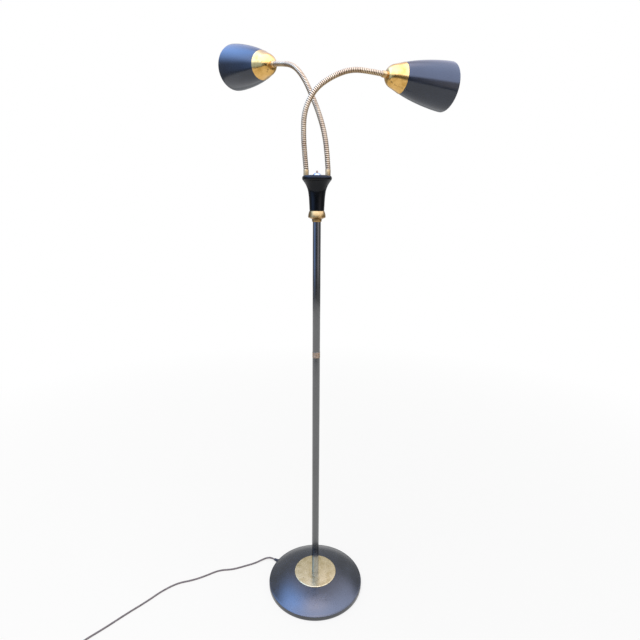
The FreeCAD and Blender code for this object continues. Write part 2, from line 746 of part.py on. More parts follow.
# every piece of a shade is drawn upright on the end of its neck, then placed on it
apex = ferrule_length
ferrule_radius = neck_radius + ferrule_proud


def shade_point(along, inward=0.0):
    return at(shade_radius(along) - inward, float(apex) + along)


cap_proud = float(shade_wall + cap_fit)
lap_start = float(cap_length - cap_lap)
cap_points = [
    shade_point(along, -cap_proud * min(1.0, along / (lap_start - float(cap_level))))
    for along in stations(0, float(cap_length))
]
cap_inner = inset(cap_points, shade_wall)
cap_inner[0] = at(shade_radius(0), apex + shade_wall)
shell_points = [shade_point(along) for along in stations(lap_start, float(shade_length))]
holder_low = apex + shade_wall + holder_gap
holder_top = holder_low + holder_length
holder_bore = bulb_cap_radius + holder_play
holder_shoulder = holder_low + holder_step
glass_low = holder_top - bulb_sunk
cap_low = glass_low - bulb_cap_length
glass = [
    at(bulb_radius * share, glass_low + bulb_length * place) for place, share in BULB_CURVE
] + [at(0, glass_low + bulb_length)]
glass_room = bulb_length - glass_wall * 2
glass_inner = [
    at((bulb_radius - glass_wall) * share, glass_low + glass_wall + glass_room * place)
    for place, share in BULB_CURVE
] + [at(0, glass_low + bulb_length - glass_wall)]

cap_shape = spun([
    line(at(iron_bore, apex), cap_points[0]),
    smooth(cap_points),
    line(cap_points[-1], cap_inner[-1]),
    smooth(cap_inner),
    line(cap_inner[0], at(iron_bore, apex + shade_wall)),
    line(at(iron_bore, apex + shade_wall), at(iron_bore, apex)),
])
shell_shape = sheet_shell(shell_points, shade_wall)
glass_shape = spun([
    smooth(glass), line(glass[-1], glass_inner[-1]), smooth(glass_inner),
    line(glass_inner[0], glass[0]),
])

for side, place in neck_ends.items():
    turned(side + "_ferrule", [
        (neck_bore, ZERO), (ferrule_radius, ZERO),
        (ferrule_radius, ferrule_length), (iron_bore, ferrule_length),
        (iron_bore, ferrule_floor), (neck_bore, ferrule_floor),
    ], place)
    tube(side + "_holder_nipple", nipple_radius, nipple_bore,
         ferrule_floor, holder_shoulder - thread_short, place)
    shaped(side + "_shade_cap", cap_shape, place)
    shaped(side + "_shade", shell_shape, place)
    turned(side + "_lamp_holder", [
        (iron_bore, holder_low), (holder_neck, holder_low), (holder_neck, holder_shoulder),
        (holder_radius, holder_shoulder), (holder_radius, holder_top),
        (holder_bore, holder_top), (holder_bore, holder_shoulder + holder_wall),
        (iron_bore, holder_shoulder + holder_wall),
    ], place)
    turned(side + "_bulb_cap", [
        (ZERO, cap_low - contact_height), (contact_radius, cap_low - contact_height),
        (bulb_cap_radius, cap_low + contact_height), (bulb_cap_radius, glass_low),
        (ZERO, glass_low),
    ], place)
    shaped(side + "_bulb_glass", glass_shape, place)

# ---- mains lead ----------------------------------------------------------------


def routed(points, radius):
    """A round lead along straight runs joined by tangent arcs, each as large as its runs allow."""
    edges = []
    start = points[0]
    length = 0.0
    radii = []
    for before, corner, after in zip(points, points[1:], points[2:]):
        into = (corner - before)
        out = (after - corner)
        half = into.getAngle(out) / 2
        reach = 0.45 * min(into.Length, out.Length)
        bow = reach / math.tan(half)
        radii.append(round(bow, 1))
        into.normalize()
        out.normalize()
        low = corner - into * reach
        high = corner + out * reach
        inward = (out - into).normalize()
        middle = corner + inward * (bow / math.cos(half) - bow)
        edges += [line(start, low), arc(low, middle, high)]
        length += (low - start).Length + 2 * half * bow
        start = high
    edges.append(line(start, points[-1]))
    length += (points[-1] - start).Length
    path = Part.Wire(edges)
    way = (points[1] - points[0]).normalize()
    section = Part.Wire(Part.Circle(points[0], way, float(radius)).toShape())
    solid = path.makePipeShell([section], True, False)
    print("lead: length", round(length, 1), "volume share",
          round(solid.Volume / (math.pi * float(radius) ** 2 * length), 4), "radii", radii)
    return solid


# sleeve of rubber through the lip, thickest at the lip and tapered outwards
relief_end = away * float(base_radius + relief_outside) + UP * float(exit_height)
relief_bore = lead_radius + push_fit
relief_tip = lead_radius + relief_tip_wall
flange_radius = relief_root + flange_proud
turned("lead_relief", [
    (relief_bore, ZERO - relief_inside), (relief_root, ZERO - relief_inside),
    (relief_root, ZERO), (flange_radius, ZERO), (flange_radius, flange_thickness),
    (relief_root, flange_thickness), (relief_tip, relief_outside),
    (relief_bore, relief_outside),
], FreeCAD.Placement(lead_way, FreeCAD.Rotation(UP, away)))

# lead inside the lamp: through the sleeve, along the slot and up the pole
inner_height = float(exit_height)
bend_radius = float(lead_bend)
bend_start = away * bend_radius + UP * inner_height
bend_stop = UP * (inner_height + bend_radius)
bend_cut = bend_radius * QUARTER
bend_middle = away * bend_cut + UP * (inner_height + bend_cut)
inner_top = UP * float(head_nut_low + nut_height + lead_end)
inner_path = Part.Wire([
    line(relief_end, bend_start),
    arc(bend_start, bend_middle, bend_stop),
    line(bend_stop, inner_top),
])
inner_section = Part.Wire(Part.Circle(relief_end, away, float(lead_radius)).toShape())
shaped("lead_inside", inner_path.makePipeShell([inner_section], True, False))

# lead from the sleeve to the coil: hand-chosen points of its route, x and y, and
# how far its underside is off the floor
LEAD_POINTS = [
    (-158.0, 87.5, 3.7), (-172.7, 81.2, 1.9), (-194.7, 67.4, 0.5),
    (-227.0, 55.0, 0.0), (-262.0, 41.0, 0.0), (-304.0, 38.0, 0.0), (-342.0, 14.0, 0.0),
    (-378.0, -3.0, 0.0), (-420.0, -14.0, 0.0), (-458.0, -44.0, 0.0), (-490.0, -82.0, 0.0),
    (-530.0, -121.0, 0.0), (-570.0, -165.0, 0.0), (-606.0, -200.0, 0.3),
    (-638.0, -237.0, 0.8),
]
route = [relief_end, relief_end + away * float(lead_straight)]
route += [FreeCAD.Vector(x, y, rise + float(lead_radius)) for x, y, rise in LEAD_POINTS]
shaped("lead", routed(route, lead_radius))

# put-away coil, tied, with the plug beside it
coil_way = (route[-1] - route[-2])
coil_way.z = 0
coil_way.normalize()
coil_inner = coil_outer - lead_radius * 2 * coil_across
coil_depth = lead_radius * 2 * coil_layers
coil_turn = float(coil_outer - lead_radius)
coil_entry = math.sqrt(float(coil_outer) ** 2 - coil_turn ** 2)
coil_middle = (
    route[-1] + coil_way * coil_entry + FreeCAD.Vector(-coil_way.y, coil_way.x, 0) * coil_turn
)
coil_middle.z = 0
coil_place = FreeCAD.Placement(coil_middle, FreeCAD.Rotation())
coil_low = tie_thickness
coil_high = tie_thickness + coil_depth
corner = lead_radius / 2
turned("lead_coil", [
    (coil_inner, coil_low + corner), (coil_inner + corner, coil_low),
    (coil_outer - corner, coil_low), (coil_outer, coil_low + corner),
    (coil_outer, coil_high - corner), (coil_outer - corner, coil_high),
    (coil_inner + corner, coil_high), (coil_inner, coil_high - corner),
], coil_place)

tie_half = float(tie_width) / 2
tie_in = math.sqrt(float(coil_inner) ** 2 - tie_half ** 2) - float(running_gap)
tie_out = float(coil_outer + running_gap)
band_block = Part.makeBox(
    tie_out - tie_in + 2 * float(tie_thickness), 2 * tie_half, float(coil_high + tie_thickness),
    FreeCAD.Vector(tie_in - float(tie_thickness), -tie_half, 0),
)
band_hole = Part.makeBox(
    tie_out - tie_in, 4 * tie_half, float(coil_depth),
    FreeCAD.Vector(tie_in, -2 * tie_half, float(tie_thickness)),
)
tie_place = FreeCAD.Placement(coil_middle, FreeCAD.Rotation(UP, float(tie_angle)))
shaped("lead_tie", band_block.cut(band_hole), tie_place)

plug_height_mid = float(plug_thickness) / 2
plug_inner = coil_turn - float(plug_width) / 2
plug_clear = math.sqrt(float(coil_outer + running_gap * 2) ** 2 - plug_inner ** 2)
plug_start = coil_middle + FreeCAD.Vector(
    plug_clear - float(plug_sleeve), -coil_turn, plug_height_mid
)
plug_place = FreeCAD.Placement(plug_start, FreeCAD.Rotation())
ALONG = FreeCAD.Vector(1, 0, 0)
sleeve = Part.makeCone(
    float(relief_tip), float(lead_radius + plug_root_wall), float(plug_sleeve), ORIGIN, ALONG
)
block = Part.makeBox(
    float(plug_length), float(plug_width), float(plug_thickness),
    FreeCAD.Vector(float(plug_sleeve), -float(plug_width) / 2, -plug_height_mid),
)
block = block.makeFillet(float(plug_edge), block.Edges)
shaped("plug_body", sleeve.fuse(block), plug_place)
pins = [
    Part.makeBox(
        float(pin_length), float(pin_thickness), float(pin_width),
        FreeCAD.Vector(
            float(plug_sleeve + plug_length),
            side * float(pin_spacing) / 2 - float(pin_thickness) / 2,
            -float(pin_width) / 2,
        ),
    )
    for side in (-1, 1)
]
shaped("plug_pins", Part.makeCompound(pins), plug_place)

# ---- check and write -----------------------------------------------------------

doc.recompute()
faults = [thing.Name for thing in doc.Objects if {"Invalid", "Error"} & set(thing.State)]
faults += [
    node.Label for node in nodes
    if node.Shape.isNull() or not node.Shape.isValid() or not node.Shape.Solids
]
if faults:
    raise RuntimeError("failed: " + ", ".join(faults))
os.makedirs("parts", exist_ok=True)
for node in nodes:
    node.Shape.exportStep("parts/%s.step" % node.Label)
print(len(nodes), "nodes written")
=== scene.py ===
import json
import math

import bmesh
import bpy
import numpy as np
from mathutils import Matrix, Vector


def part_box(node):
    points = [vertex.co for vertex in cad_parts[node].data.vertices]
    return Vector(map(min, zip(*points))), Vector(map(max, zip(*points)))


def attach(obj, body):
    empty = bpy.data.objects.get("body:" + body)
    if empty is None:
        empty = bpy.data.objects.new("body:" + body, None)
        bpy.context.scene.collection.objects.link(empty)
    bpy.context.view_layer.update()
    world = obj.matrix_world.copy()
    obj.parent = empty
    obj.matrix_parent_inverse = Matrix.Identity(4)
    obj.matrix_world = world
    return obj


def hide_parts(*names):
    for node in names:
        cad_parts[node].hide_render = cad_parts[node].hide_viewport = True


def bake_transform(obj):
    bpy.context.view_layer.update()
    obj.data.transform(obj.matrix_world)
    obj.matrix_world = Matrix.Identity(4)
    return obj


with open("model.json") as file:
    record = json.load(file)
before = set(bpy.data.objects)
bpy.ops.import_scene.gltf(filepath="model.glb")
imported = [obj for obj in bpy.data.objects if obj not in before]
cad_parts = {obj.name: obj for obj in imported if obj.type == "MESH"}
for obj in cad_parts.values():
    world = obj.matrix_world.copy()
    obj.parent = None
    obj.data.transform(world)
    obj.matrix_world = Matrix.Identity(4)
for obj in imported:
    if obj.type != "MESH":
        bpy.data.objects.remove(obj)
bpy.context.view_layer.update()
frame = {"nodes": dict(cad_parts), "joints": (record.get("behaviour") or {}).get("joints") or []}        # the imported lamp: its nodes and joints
scene = bpy.context.scene

# A floor lamp with two bending necks.  Metres, +Z up, the felt under the base on
# z = 0, the front at -Y.  Sizes are written in millimetres and multiplied by MM.
MM = 0.001
SIDES = ("right", "left")

# ---- camera --------------------------------------------------------------------

CAMERA_PLACE = (0.0095, -1.1732, 1.1396)
CAMERA_PITCH = math.radians(14.7)     # looking down
CAMERA_ROLL = math.radians(0.377)
CAMERA_LENS = 25.99                   # for a sensor 36 wide
CAMERA_SENSOR = 36.0


def make_camera():
    data = bpy.data.cameras.new("camera")
    data.sensor_width = CAMERA_SENSOR
    data.lens = CAMERA_LENS
    camera = bpy.data.objects.new("camera", data)
    scene.collection.objects.link(camera)
    camera.matrix_world = (
        Matrix.Translation(CAMERA_PLACE)
        @ Matrix.Rotation(math.pi / 2 - CAMERA_PITCH, 4, "X")
        @ Matrix.Rotation(CAMERA_ROLL, 4, "Z")
    )
    scene.camera = camera


make_camera()

# ---- finishes ------------------------------------------------------------------


def linear(code, alpha=1.0):
    """An sRGB hex colour, such as "d8b060", as linear red, green, blue and alpha."""
    shares = [int(code[i:i + 2], 16) / 255 for i in (0, 2, 4)]
    return (*[s / 12.92 if s <= 0.04045 else ((s + 0.055) / 1.055) ** 2.4 for s in shares], alpha)


def add(tree, kind, settings=None, sockets=None):
    """Add one node: its settings by name, and its inputs by name or number, each a value or an output."""
    node = tree.nodes.new("ShaderNode" + kind)
    for name, value in (settings or {}).items():
        setattr(node, name, value)
    for name, value in (sockets or {}).items():
        if isinstance(value, bpy.types.NodeSocket):
            tree.links.new(value, node.inputs[name])
        else:
            node.inputs[name].default_value = value
    return node


def finish(name, **shader):
    """A new material with one Principled shader; shader gives its plain values by socket name."""
    material = bpy.data.materials.new(name)
    material.use_nodes = True
    tree = material.node_tree
    tree.nodes.clear()
    sockets = {key.replace("_", " "): value for key, value in shader.items()}
    principled = add(tree, "BsdfPrincipled", None, sockets)
    add(tree, "OutputMaterial", None, {"Surface": principled.outputs[0]})
    return material, tree, principled


def blend_colours(tree, share, low, high):
    """Colour low where share is 0 and high where it is 1."""
    mix = add(tree, "Mix", {"data_type": "RGBA"}, {0: share, 6: low, 7: high})
    return mix.outputs[2]


def spread(tree, value, low, high, to_low=0.0, to_high=1.0):
    """The value's range from low to high, stretched to another range and held at its ends."""
    return add(tree, "MapRange", None, {
        0: value, 1: low, 2: high, 3: to_low, 4: to_high,
    }).outputs[0]


def noise(tree, coordinates, size, stretch=(1, 1, 1), detail=3.0, roughness=0.55):
    """Cloudy pattern from 0 to 1 whose blobs are size metres wide, longer where stretch is small."""
    mapping = add(tree, "Mapping", None, {
        "Vector": coordinates, "Scale": [s / size for s in stretch],
    })
    return add(tree, "TexNoise", None, {
        "Vector": mapping.outputs[0], "Scale": 1.0, "Detail": detail, "Roughness": roughness,
    }).outputs[0]


def bumped(tree, principled, height, distance, strength=1.0):
    """Raise the surface by height times distance."""
    bump = add(tree, "Bump", None, {
        "Height": height, "Distance": distance, "Strength": strength,
    })
    tree.links.new(bump.outputs[0], principled.inputs["Normal"])


def own_coordinates(tree):
    """Each turned piece's own coordinates, with its axis along Z."""
    return add(tree, "Attribute", {"attribute_name": "own"}).outputs["Vector"]


def object_coordinates(tree):
    return add(tree, "TexCoord").outputs["Object"]


def stoved_enamel(name, deep, pale, roughness, own, ior=1.55, specks=0.25):
    """Stove enamel on spun steel: smooth and satin, a little cloudy, with fine dust specks
    and rub marks that show as changes in its sheen."""
    material, tree, shader = finish(name, IOR=ior)
    place = own_coordinates(tree) if own else object_coordinates(tree)
    clouds = noise(tree, place, 60 * MM)
    tone = spread(tree, clouds, 0.35, 0.7)
    colour = blend_colours(tree, tone, linear(deep), linear(pale))
    dust = noise(tree, place, 1.6 * MM, detail=1.0)
    dust_share = spread(tree, dust, 0.72, 0.78, 0.0, specks)
    colour = blend_colours(tree, dust_share, colour, linear("6b717c"))
    tree.links.new(colour, shader.inputs["Base Color"])
    rubs = noise(tree, place, 16 * MM, stretch=(1, 1, 0.4))
    tree.links.new(
        spread(tree, rubs, 0.3, 0.75, roughness - 0.03, roughness + 0.06),
        shader.inputs["Roughness"],
    )
    return material


def brass(name, bright, dull, roughness, own=True, rings=0.35, spots=0.7):
    """Polished brass that has aged under worn lacquer: warm mirror, hazy olive tarnish,
    a few dark spots and fine scratches left round the piece by the lathe and by cloths."""
    material, tree, shader = finish(name, Metallic=1.0)
    place = own_coordinates(tree) if own else object_coordinates(tree)
    haze = noise(tree, place, 22 * MM, detail=5.0)
    tarnish = spread(tree, haze, 0.42, 0.68)
    colour = blend_colours(tree, tarnish, linear(bright), linear(dull))
    dots = noise(tree, place, 3.2 * MM, detail=2.0)
    dot_share = spread(tree, dots, spots, spots + 0.05, 0.0, 0.85)
    colour = blend_colours(tree, dot_share, colour, linear("4a3a1c"))
    tree.links.new(colour, shader.inputs["Base Color"])
    # rings left by the lathe, drawn about 0.6 mm apart so that they show
    parts = add(tree, "SeparateXYZ", None, {0: place})
    square = add(tree, "Math", {"operation": "MULTIPLY"}, {0: parts.outputs[0], 1: parts.outputs[0]})
    square_y = add(tree, "Math", {"operation": "MULTIPLY"}, {0: parts.outputs[1], 1: parts.outputs[1]})
    total = add(tree, "Math", {"operation": "ADD"}, {0: square.outputs[0], 1: square_y.outputs[0]})
    radius = add(tree, "Math", {"operation": "SQRT"}, {0: total.outputs[0]})
    lines = add(tree, "CombineXYZ", None, {0: radius.outputs[0], 1: parts.outputs[2]})
    turned_marks = noise(tree, lines.outputs[0], 0.6 * MM, stretch=(1, 1, 1), detail=2.0)
    scuffs = noise(tree, place, 5 * MM, stretch=(1, 0.3, 1), detail=4.0)
    worn = add(tree, "Math", {"operation": "ADD"}, {
        0: spread(tree, turned_marks, 0.3, 0.8, 0.0, rings),
        1: spread(tree, scuffs, 0.45, 0.8, 0.0, 0.5),
    })
    tree.links.new(
        spread(tree, worn.outputs[0], 0.0, 1.0, roughness, roughness + 0.16),
        shader.inputs["Roughness"],
    )
    bumped(tree, shader, turned_marks, 0.012 * MM)
    return material


def wound_brass():
    """Brass-plated steel wire wound into a neck: each turn a bright half-round bead,
    its valleys darkened by tarnish, dust and painted shade, and paler where hands have rubbed it."""
    material, tree, shader = finish("wound_brass_plated_steel", Metallic=1.0)
    place = own_coordinates(tree)
    valley = add(tree, "Attribute", {"attribute_name": "valley"}).outputs["Fac"]
    rubbed = noise(tree, place, 40 * MM, detail=3.0)
    colour = blend_colours(
        tree, spread(tree, rubbed, 0.35, 0.7), linear("ad9170"), linear("d2b992")
    )
    # dark brown in the valleys between turns: partly tarnish and dust, partly painted shade
    valley_tarnish_and_shade = spread(tree, valley, 0.12, 0.75)
    colour = blend_colours(tree, valley_tarnish_and_shade, colour, linear("33281d"))
    tree.links.new(colour, shader.inputs["Base Color"])
    grain = noise(tree, place, 1.5 * MM)
    tree.links.new(spread(tree, grain, 0.3, 0.8, 0.34, 0.46), shader.inputs["Roughness"])
    return material


def moulding(name, colour_code, mark_code, roughness, own=True, level=0.5):
    """Pressed phenolic or vulcanised moulding: deep even colour, polished skin with faint
    flow clouds, and dust that greys it a little."""
    material, tree, shader = finish(name, IOR=1.55, Specular_IOR_Level=level)
    place = own_coordinates(tree) if own else object_coordinates(tree)
    flow = noise(tree, place, 14 * MM, stretch=(1, 1, 0.4), detail=4.0)
    colour = blend_colours(
        tree, spread(tree, flow, 0.4, 0.75), linear(colour_code), linear(mark_code)
    )
    tree.links.new(colour, shader.inputs["Base Color"])
    dust = noise(tree, place, 3 * MM, detail=4.0)
    tree.links.new(
        spread(tree, dust, 0.35, 0.75, roughness, roughness + 0.12), shader.inputs["Roughness"]
    )
    return material


def plain_metal(name, colour_code, mark_code, roughness):
    """Metal parts as they leave the machine: even, slightly cloudy, with fine grain in the gloss."""
    material, tree, shader = finish(name, Metallic=1.0)
    place = object_coordinates(tree)
    clouds = noise(tree, place, 6 * MM, detail=4.0)
    colour = blend_colours(
        tree, spread(tree, clouds, 0.35, 0.7), linear(colour_code), linear(mark_code)
    )
    tree.links.new(colour, shader.inputs["Base Color"])
    tree.links.new(
        spread(tree, clouds, 0.3, 0.7, roughness, roughness + 0.12), shader.inputs["Roughness"]
    )
    return material


def pressed_felt():
    """Pressed wool felt: matt green fibres in soft clumps."""
    material, tree, shader = finish("pressed_green_felt", Roughness=0.95)
    place = object_coordinates(tree)
    fibres = noise(tree, place, 1.2 * MM, detail=6.0)
    colour = blend_colours(tree, fibres, linear("26352a"), linear("4c6350"))
    tree.links.new(colour, shader.inputs["Base Color"])
    bumped(tree, shader, fibres, 0.4 * MM)
    return material


def sand_cast_iron():
    """Grey cast iron out of a sand mould: coarse, dark and dry."""
    material, tree, shader = finish("sand_cast_iron", Roughness=0.8, Metallic=0.4)
    place = object_coordinates(tree)
    grit = noise(tree, place, 0.9 * MM, detail=5.0)
    colour = blend_colours(tree, grit, linear("232426"), linear("4a4c4f"))
    tree.links.new(colour, shader.inputs["Base Color"])
    bumped(tree, shader, grit, 0.3 * MM)
    return material


def opal_glass():
    """Blown opal glass: milky white right through, glossy, a little warmer in cloudy patches."""
    material, tree, shader = finish(
        "blown_opal_glass", Roughness=0.12, IOR=1.5, Subsurface_Weight=0.35,
        Subsurface_Scale=4 * MM,
    )
    place = own_coordinates(tree)
    clouds = noise(tree, place, 25 * MM)
    colour = blend_colours(tree, clouds, linear("f3efe4"), linear("fbfaf5"))
    tree.links.new(colour, shader.inputs["Base Color"])
    return material


def stoved_white():
    """White stove enamel inside a shade: semi-gloss and creamy with age, a little cloudy."""
    material, tree, shader = finish("white_stoved_enamel", IOR=1.5)
    place = own_coordinates(tree)
    clouds = noise(tree, place, 30 * MM, detail=4.0)
    colour = blend_colours(tree, clouds, linear("e2ddcd"), linear("f1eee4"))
    tree.links.new(colour, shader.inputs["Base Color"])
    tree.links.new(spread(tree, clouds, 0.3, 0.7, 0.3, 0.42), shader.inputs["Roughness"])
    return material


def lead_cover():
    """Old extruded rubber-and-cotton lead gone brown-grey: dull, slightly mottled and dusty."""
    material, tree, shader = finish("extruded_lead_cover", IOR=1.5)
    place = object_coordinates(tree)
    mottle = noise(tree, place, 7 * MM, detail=4.0)
    colour = blend_colours(
        tree, spread(tree, mottle, 0.35, 0.7), linear("5f5451"), linear("7b6e6a")
    )
    tree.links.new(colour, shader.inputs["Base Color"])
    tree.links.new(spread(tree, mottle, 0.3, 0.7, 0.45, 0.62), shader.inputs["Roughness"])
    return material


SHADE_PAINT = stoved_enamel("blue_black_stoved_enamel", "1a2130", "222b3b", 0.17, own=True)
BASE_PAINT = stoved_enamel("slate_stoved_enamel", "262931", "32363f", 0.24, own=True, ior=1.75)
POLE_PAINT = stoved_enamel("grey_stoved_enamel", "1c1f23", "2a2d31", 0.14, own=True, ior=2.2)
WHITE_INSIDE = stoved_white()
CAP_BRASS = brass("spun_polished_brass", "dcb068", "b98f48", 0.17, rings=0.3)
DISC_BRASS = brass("turned_lacquered_brass", "ecd8a8", "d2bc88", 0.2, rings=0.5, spots=0.66)
AGED_BRASS = brass("turned_aged_brass", "b5915c", "846a3e", 0.26, rings=0.6, spots=0.64)
BAND_BRASS = brass("dull_turned_brass", "a58f78", "7d6a56", 0.38, rings=0.5, spots=0.7)
NECK_BRASS = wound_brass()
FERRULE_BRASS = brass("turned_ferrule_brass", "d0ae7a", "9c8052", 0.36)
BUTTON_BRASS = brass("turned_button_brass", "b99a86", "8f6f5c", 0.3)
HEAD_BLACK = moulding("pressed_black_phenolic", "090b0f", "11151b", 0.12, level=0.17)
HOLDER_BROWN = moulding("pressed_brown_phenolic", "24140d", "3a2217", 0.22)
PLUG_BROWN = moulding("pressed_dark_phenolic", "1b1412", "2b211d", 0.25, own=False)
RELIEF_RUBBER = moulding("vulcanised_black_rubber", "16171a", "232427", 0.55, own=False)
NICKEL = plain_metal("plated_nickel", "c3cbd8", "9fabbf", 0.1)
STEEL = plain_metal("zinc_plated_steel", "9da1a5", "7c8186", 0.3)
ALUMINIUM = plain_metal("rolled_aluminium", "c9cbcd", "aeb1b4", 0.28)
PIN_BRASS = plain_metal("drawn_pin_brass", "c9a763", "a98647", 0.22)
FELT = pressed_felt()
CAST_IRON = sand_cast_iron()
OPAL = opal_glass()
LEAD_COVER = lead_cover()

# ---- surfaces ------------------------------------------------------------------


def surface(name, points, own, closed_rows, materials, face_material=None, sharp=38.0, **fields):
    """A mesh on a grid of points (rows, columns, 3) whose columns close on themselves and,
    if asked, whose rows do too.  own is each point's place on the piece itself.  Points that
    fall together, as at a pole, become one.  fields are further values, one for each point."""
    rows, columns = points.shape[:2]
    i = np.arange(rows if closed_rows else rows - 1)[:, None]
    j = np.arange(columns)[None, :]
    here, there = i * columns, (i + 1) % rows * columns
    beside = (j + 1) % columns
    faces = np.stack([here + j, here + beside, there + beside, there + j], -1).reshape(-1, 4)
    flat = points.reshape(-1, 3)
    a, b, c, d = (flat[faces[:, k]] for k in range(4))
    volume = (a * np.cross(b, c)).sum() + (a * np.cross(c, d)).sum()
    if volume < 0:
        faces = faces[:, ::-1]
    mesh = bpy.data.meshes.new(name)
    mesh.from_pydata(flat.tolist(), [], faces.tolist())
    mesh.attributes.new("own", "FLOAT_VECTOR", "POINT").data.foreach_set(
        "vector", own.reshape(-1).astype(np.float32)
    )
    for field, values in fields.items():
        mesh.attributes.new(field, "FLOAT", "POINT").data.foreach_set(
            "value", values.reshape(-1).astype(np.float32)
        )
    for material in materials:
        mesh.materials.append(material)
    if face_material is not None:
        mesh.polygons.foreach_set(
            "material_index", np.repeat(face_material, columns).astype(np.int32)
        )
    work = bmesh.new()
    work.from_mesh(mesh)
    bmesh.ops.remove_doubles(work, verts=work.verts, dist=0.0005 * MM)
    work.to_mesh(mesh)
    work.free()
    mesh.shade_smooth()
    mesh.set_sharp_from_angle(angle=math.radians(sharp))
    piece = bpy.data.objects.new(name, mesh)
    scene.collection.objects.link(piece)
    return piece


def rounded(*corners, steps=5):
    """A closed outline from (radius, height, cut) corners, in millimetres.  Each corner with a cut
    becomes a curve that leaves both its sides that far from it: a quadratic Bezier."""
    given = np.array([(*c, 0)[:3] for c in corners], float)
    spot, cut = given[:, :2], given[:, 2:]
    back = np.roll(spot, 1, 0) - spot
    ahead = np.roll(spot, -1, 0) - spot
    start = spot + cut * back / np.maximum(np.linalg.norm(back, axis=1)[:, None], 1e-9)
    end = spot + cut * ahead / np.maximum(np.linalg.norm(ahead, axis=1)[:, None], 1e-9)
    t = np.linspace(0, 1, steps)[None, :, None]
    bend = (1 - t) ** 2 * start[:, None] + 2 * t * (1 - t) * spot[:, None] + t ** 2 * end[:, None]
    line = bend.reshape(-1, 2)
    moved = np.linalg.norm(line - np.roll(line, 1, 0), axis=1)
    return line[moved > 1e-6]


def smooth_share(shares, place):
    """The smooth curve through (place, value) pairs: cubic Hermite pieces, whose slope at each
    pair is that of the line between its neighbours."""
    x, y = np.array(shares).T
    order = np.arange(len(x))
    low, high = np.maximum(order - 1, 0), np.minimum(order + 1, len(x) - 1)
    slope = (y[high] - y[low]) / (x[high] - x[low])
    i = np.clip(np.searchsorted(x, place) - 1, 0, len(x) - 2)
    step = x[i + 1] - x[i]
    u = (place - x[i]) / step
    return (
        (1 + 2 * u) * (1 - u) ** 2 * y[i] + u * (1 - u) ** 2 * step * slope[i]
        + u * u * (3 - 2 * u) * y[i + 1] + u * u * (u - 1) * step * slope[i + 1]
    )


def turned(name, outline, *materials, place=None, segments=96, closed=True, face_material=None):
    """A lathe-turned piece.  Each outline point (radius, height), in millimetres, goes round the
    axis: x = radius cos a, y = radius sin a, z = height; place then carries it to the lamp."""
    angle = 2 * math.pi * np.arange(segments) / segments
    radius, height = outline.T * MM
    own = np.stack([
        radius[:, None] * np.cos(angle), radius[:, None] * np.sin(angle),
        np.repeat(height[:, None], segments, 1),
    ], -1)
    carry = np.array(place if place is not None else Matrix.Identity(4))
    points = own @ carry[:3, :3].T + carry[:3, 3]
    return surface(name, points, own, closed, materials, face_material)


def fit(piece, body, slot, *nodes):
    """The piece rides on a body and stands for these CAD nodes; slot is not used."""
    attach(piece, body)
    if nodes:
        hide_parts(*nodes)
    return piece


def dress(material, *nodes):
    """A CAD node that stays gets its finish."""
    for name in nodes:
        for place in frame["nodes"][name].material_slots:
            place.material = material


def height_of(node):
    """Lowest and highest point of a CAD node, in millimetres."""
    low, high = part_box(node)
    return low.z / MM, high.z / MM


def reach_of(node):
    """Half the width of an upright round CAD node, in millimetres."""
    low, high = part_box(node)
    return (high.x - low.x) / 2 / MM


# ---- mains lead ----------------------------------------------------------------

LEAD_RADIUS = 2.5 * MM
EXIT_ANGLE = math.radians(149.0)
EXIT_HEIGHT = 7.5 * MM
SLEEVE_END = 154.0 * MM        # the rubber sleeve's tip, from the pole's axis
LEAD_STRAIGHT = 14.0 * MM
LEAD_POINTS = (
    (-0.1580, 0.0875, 0.0062), (-0.1727, 0.0812, 0.0044), (-0.1947, 0.0674, 0.0030),
    (-0.2270, 0.0550, 0.0025), (-0.2620, 0.0410, 0.0025), (-0.3040, 0.0380, 0.0025),
    (-0.3420, 0.0140, 0.0025), (-0.3780, -0.0030, 0.0025), (-0.4200, -0.0140, 0.0025),
    (-0.4580, -0.0440, 0.0025), (-0.4900, -0.0820, 0.0025), (-0.5300, -0.1210, 0.0025),
    (-0.5700, -0.1650, 0.0025), (-0.6060, -0.2000, 0.0028), (-0.6380, -0.2370, 0.0033),
)
COIL_POINTS = 16               # points of the lead's own spline in each turn
PLUG_ENTRY = 6.0 * MM          # lead inside the plug's sleeve


def coil_points(start):
    """Turns of the put-away coil: a flat spiral in to the middle on the floor, then a second
    one back out on top of it.  Radius and height are straight lines in the angle."""
    low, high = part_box("lead_coil")
    middle = (low + high) / 2
    outer = (high.x - low.x) / 2 - LEAD_RADIUS
    inner = outer - 16.0 * MM
    bottom, top = low.z + LEAD_RADIUS, high.z - LEAD_RADIUS
    first = math.atan2(start[1] - middle.y, start[0] - middle.x)
    first = (first + math.acos(min(1.0, outer / math.dist(start[:2], middle[:2])))) % math.tau
    last = 1.5 * math.pi + 6 * math.tau
    count = round((last - first) / math.tau * COIL_POINTS)
    turns = []
    for k in range(count + 1):
        share = k / count
        out = abs(2 * share - 1)
        radius = inner + (outer - inner) * out
        rise = min(max((share - 0.47) / 0.06, 0.0), 1.0)
        angle = first + (last - first) * share
        turns.append((
            middle.x + radius * math.cos(angle), middle.y + radius * math.sin(angle),
            bottom + (top - bottom) * rise,
        ))
    return turns


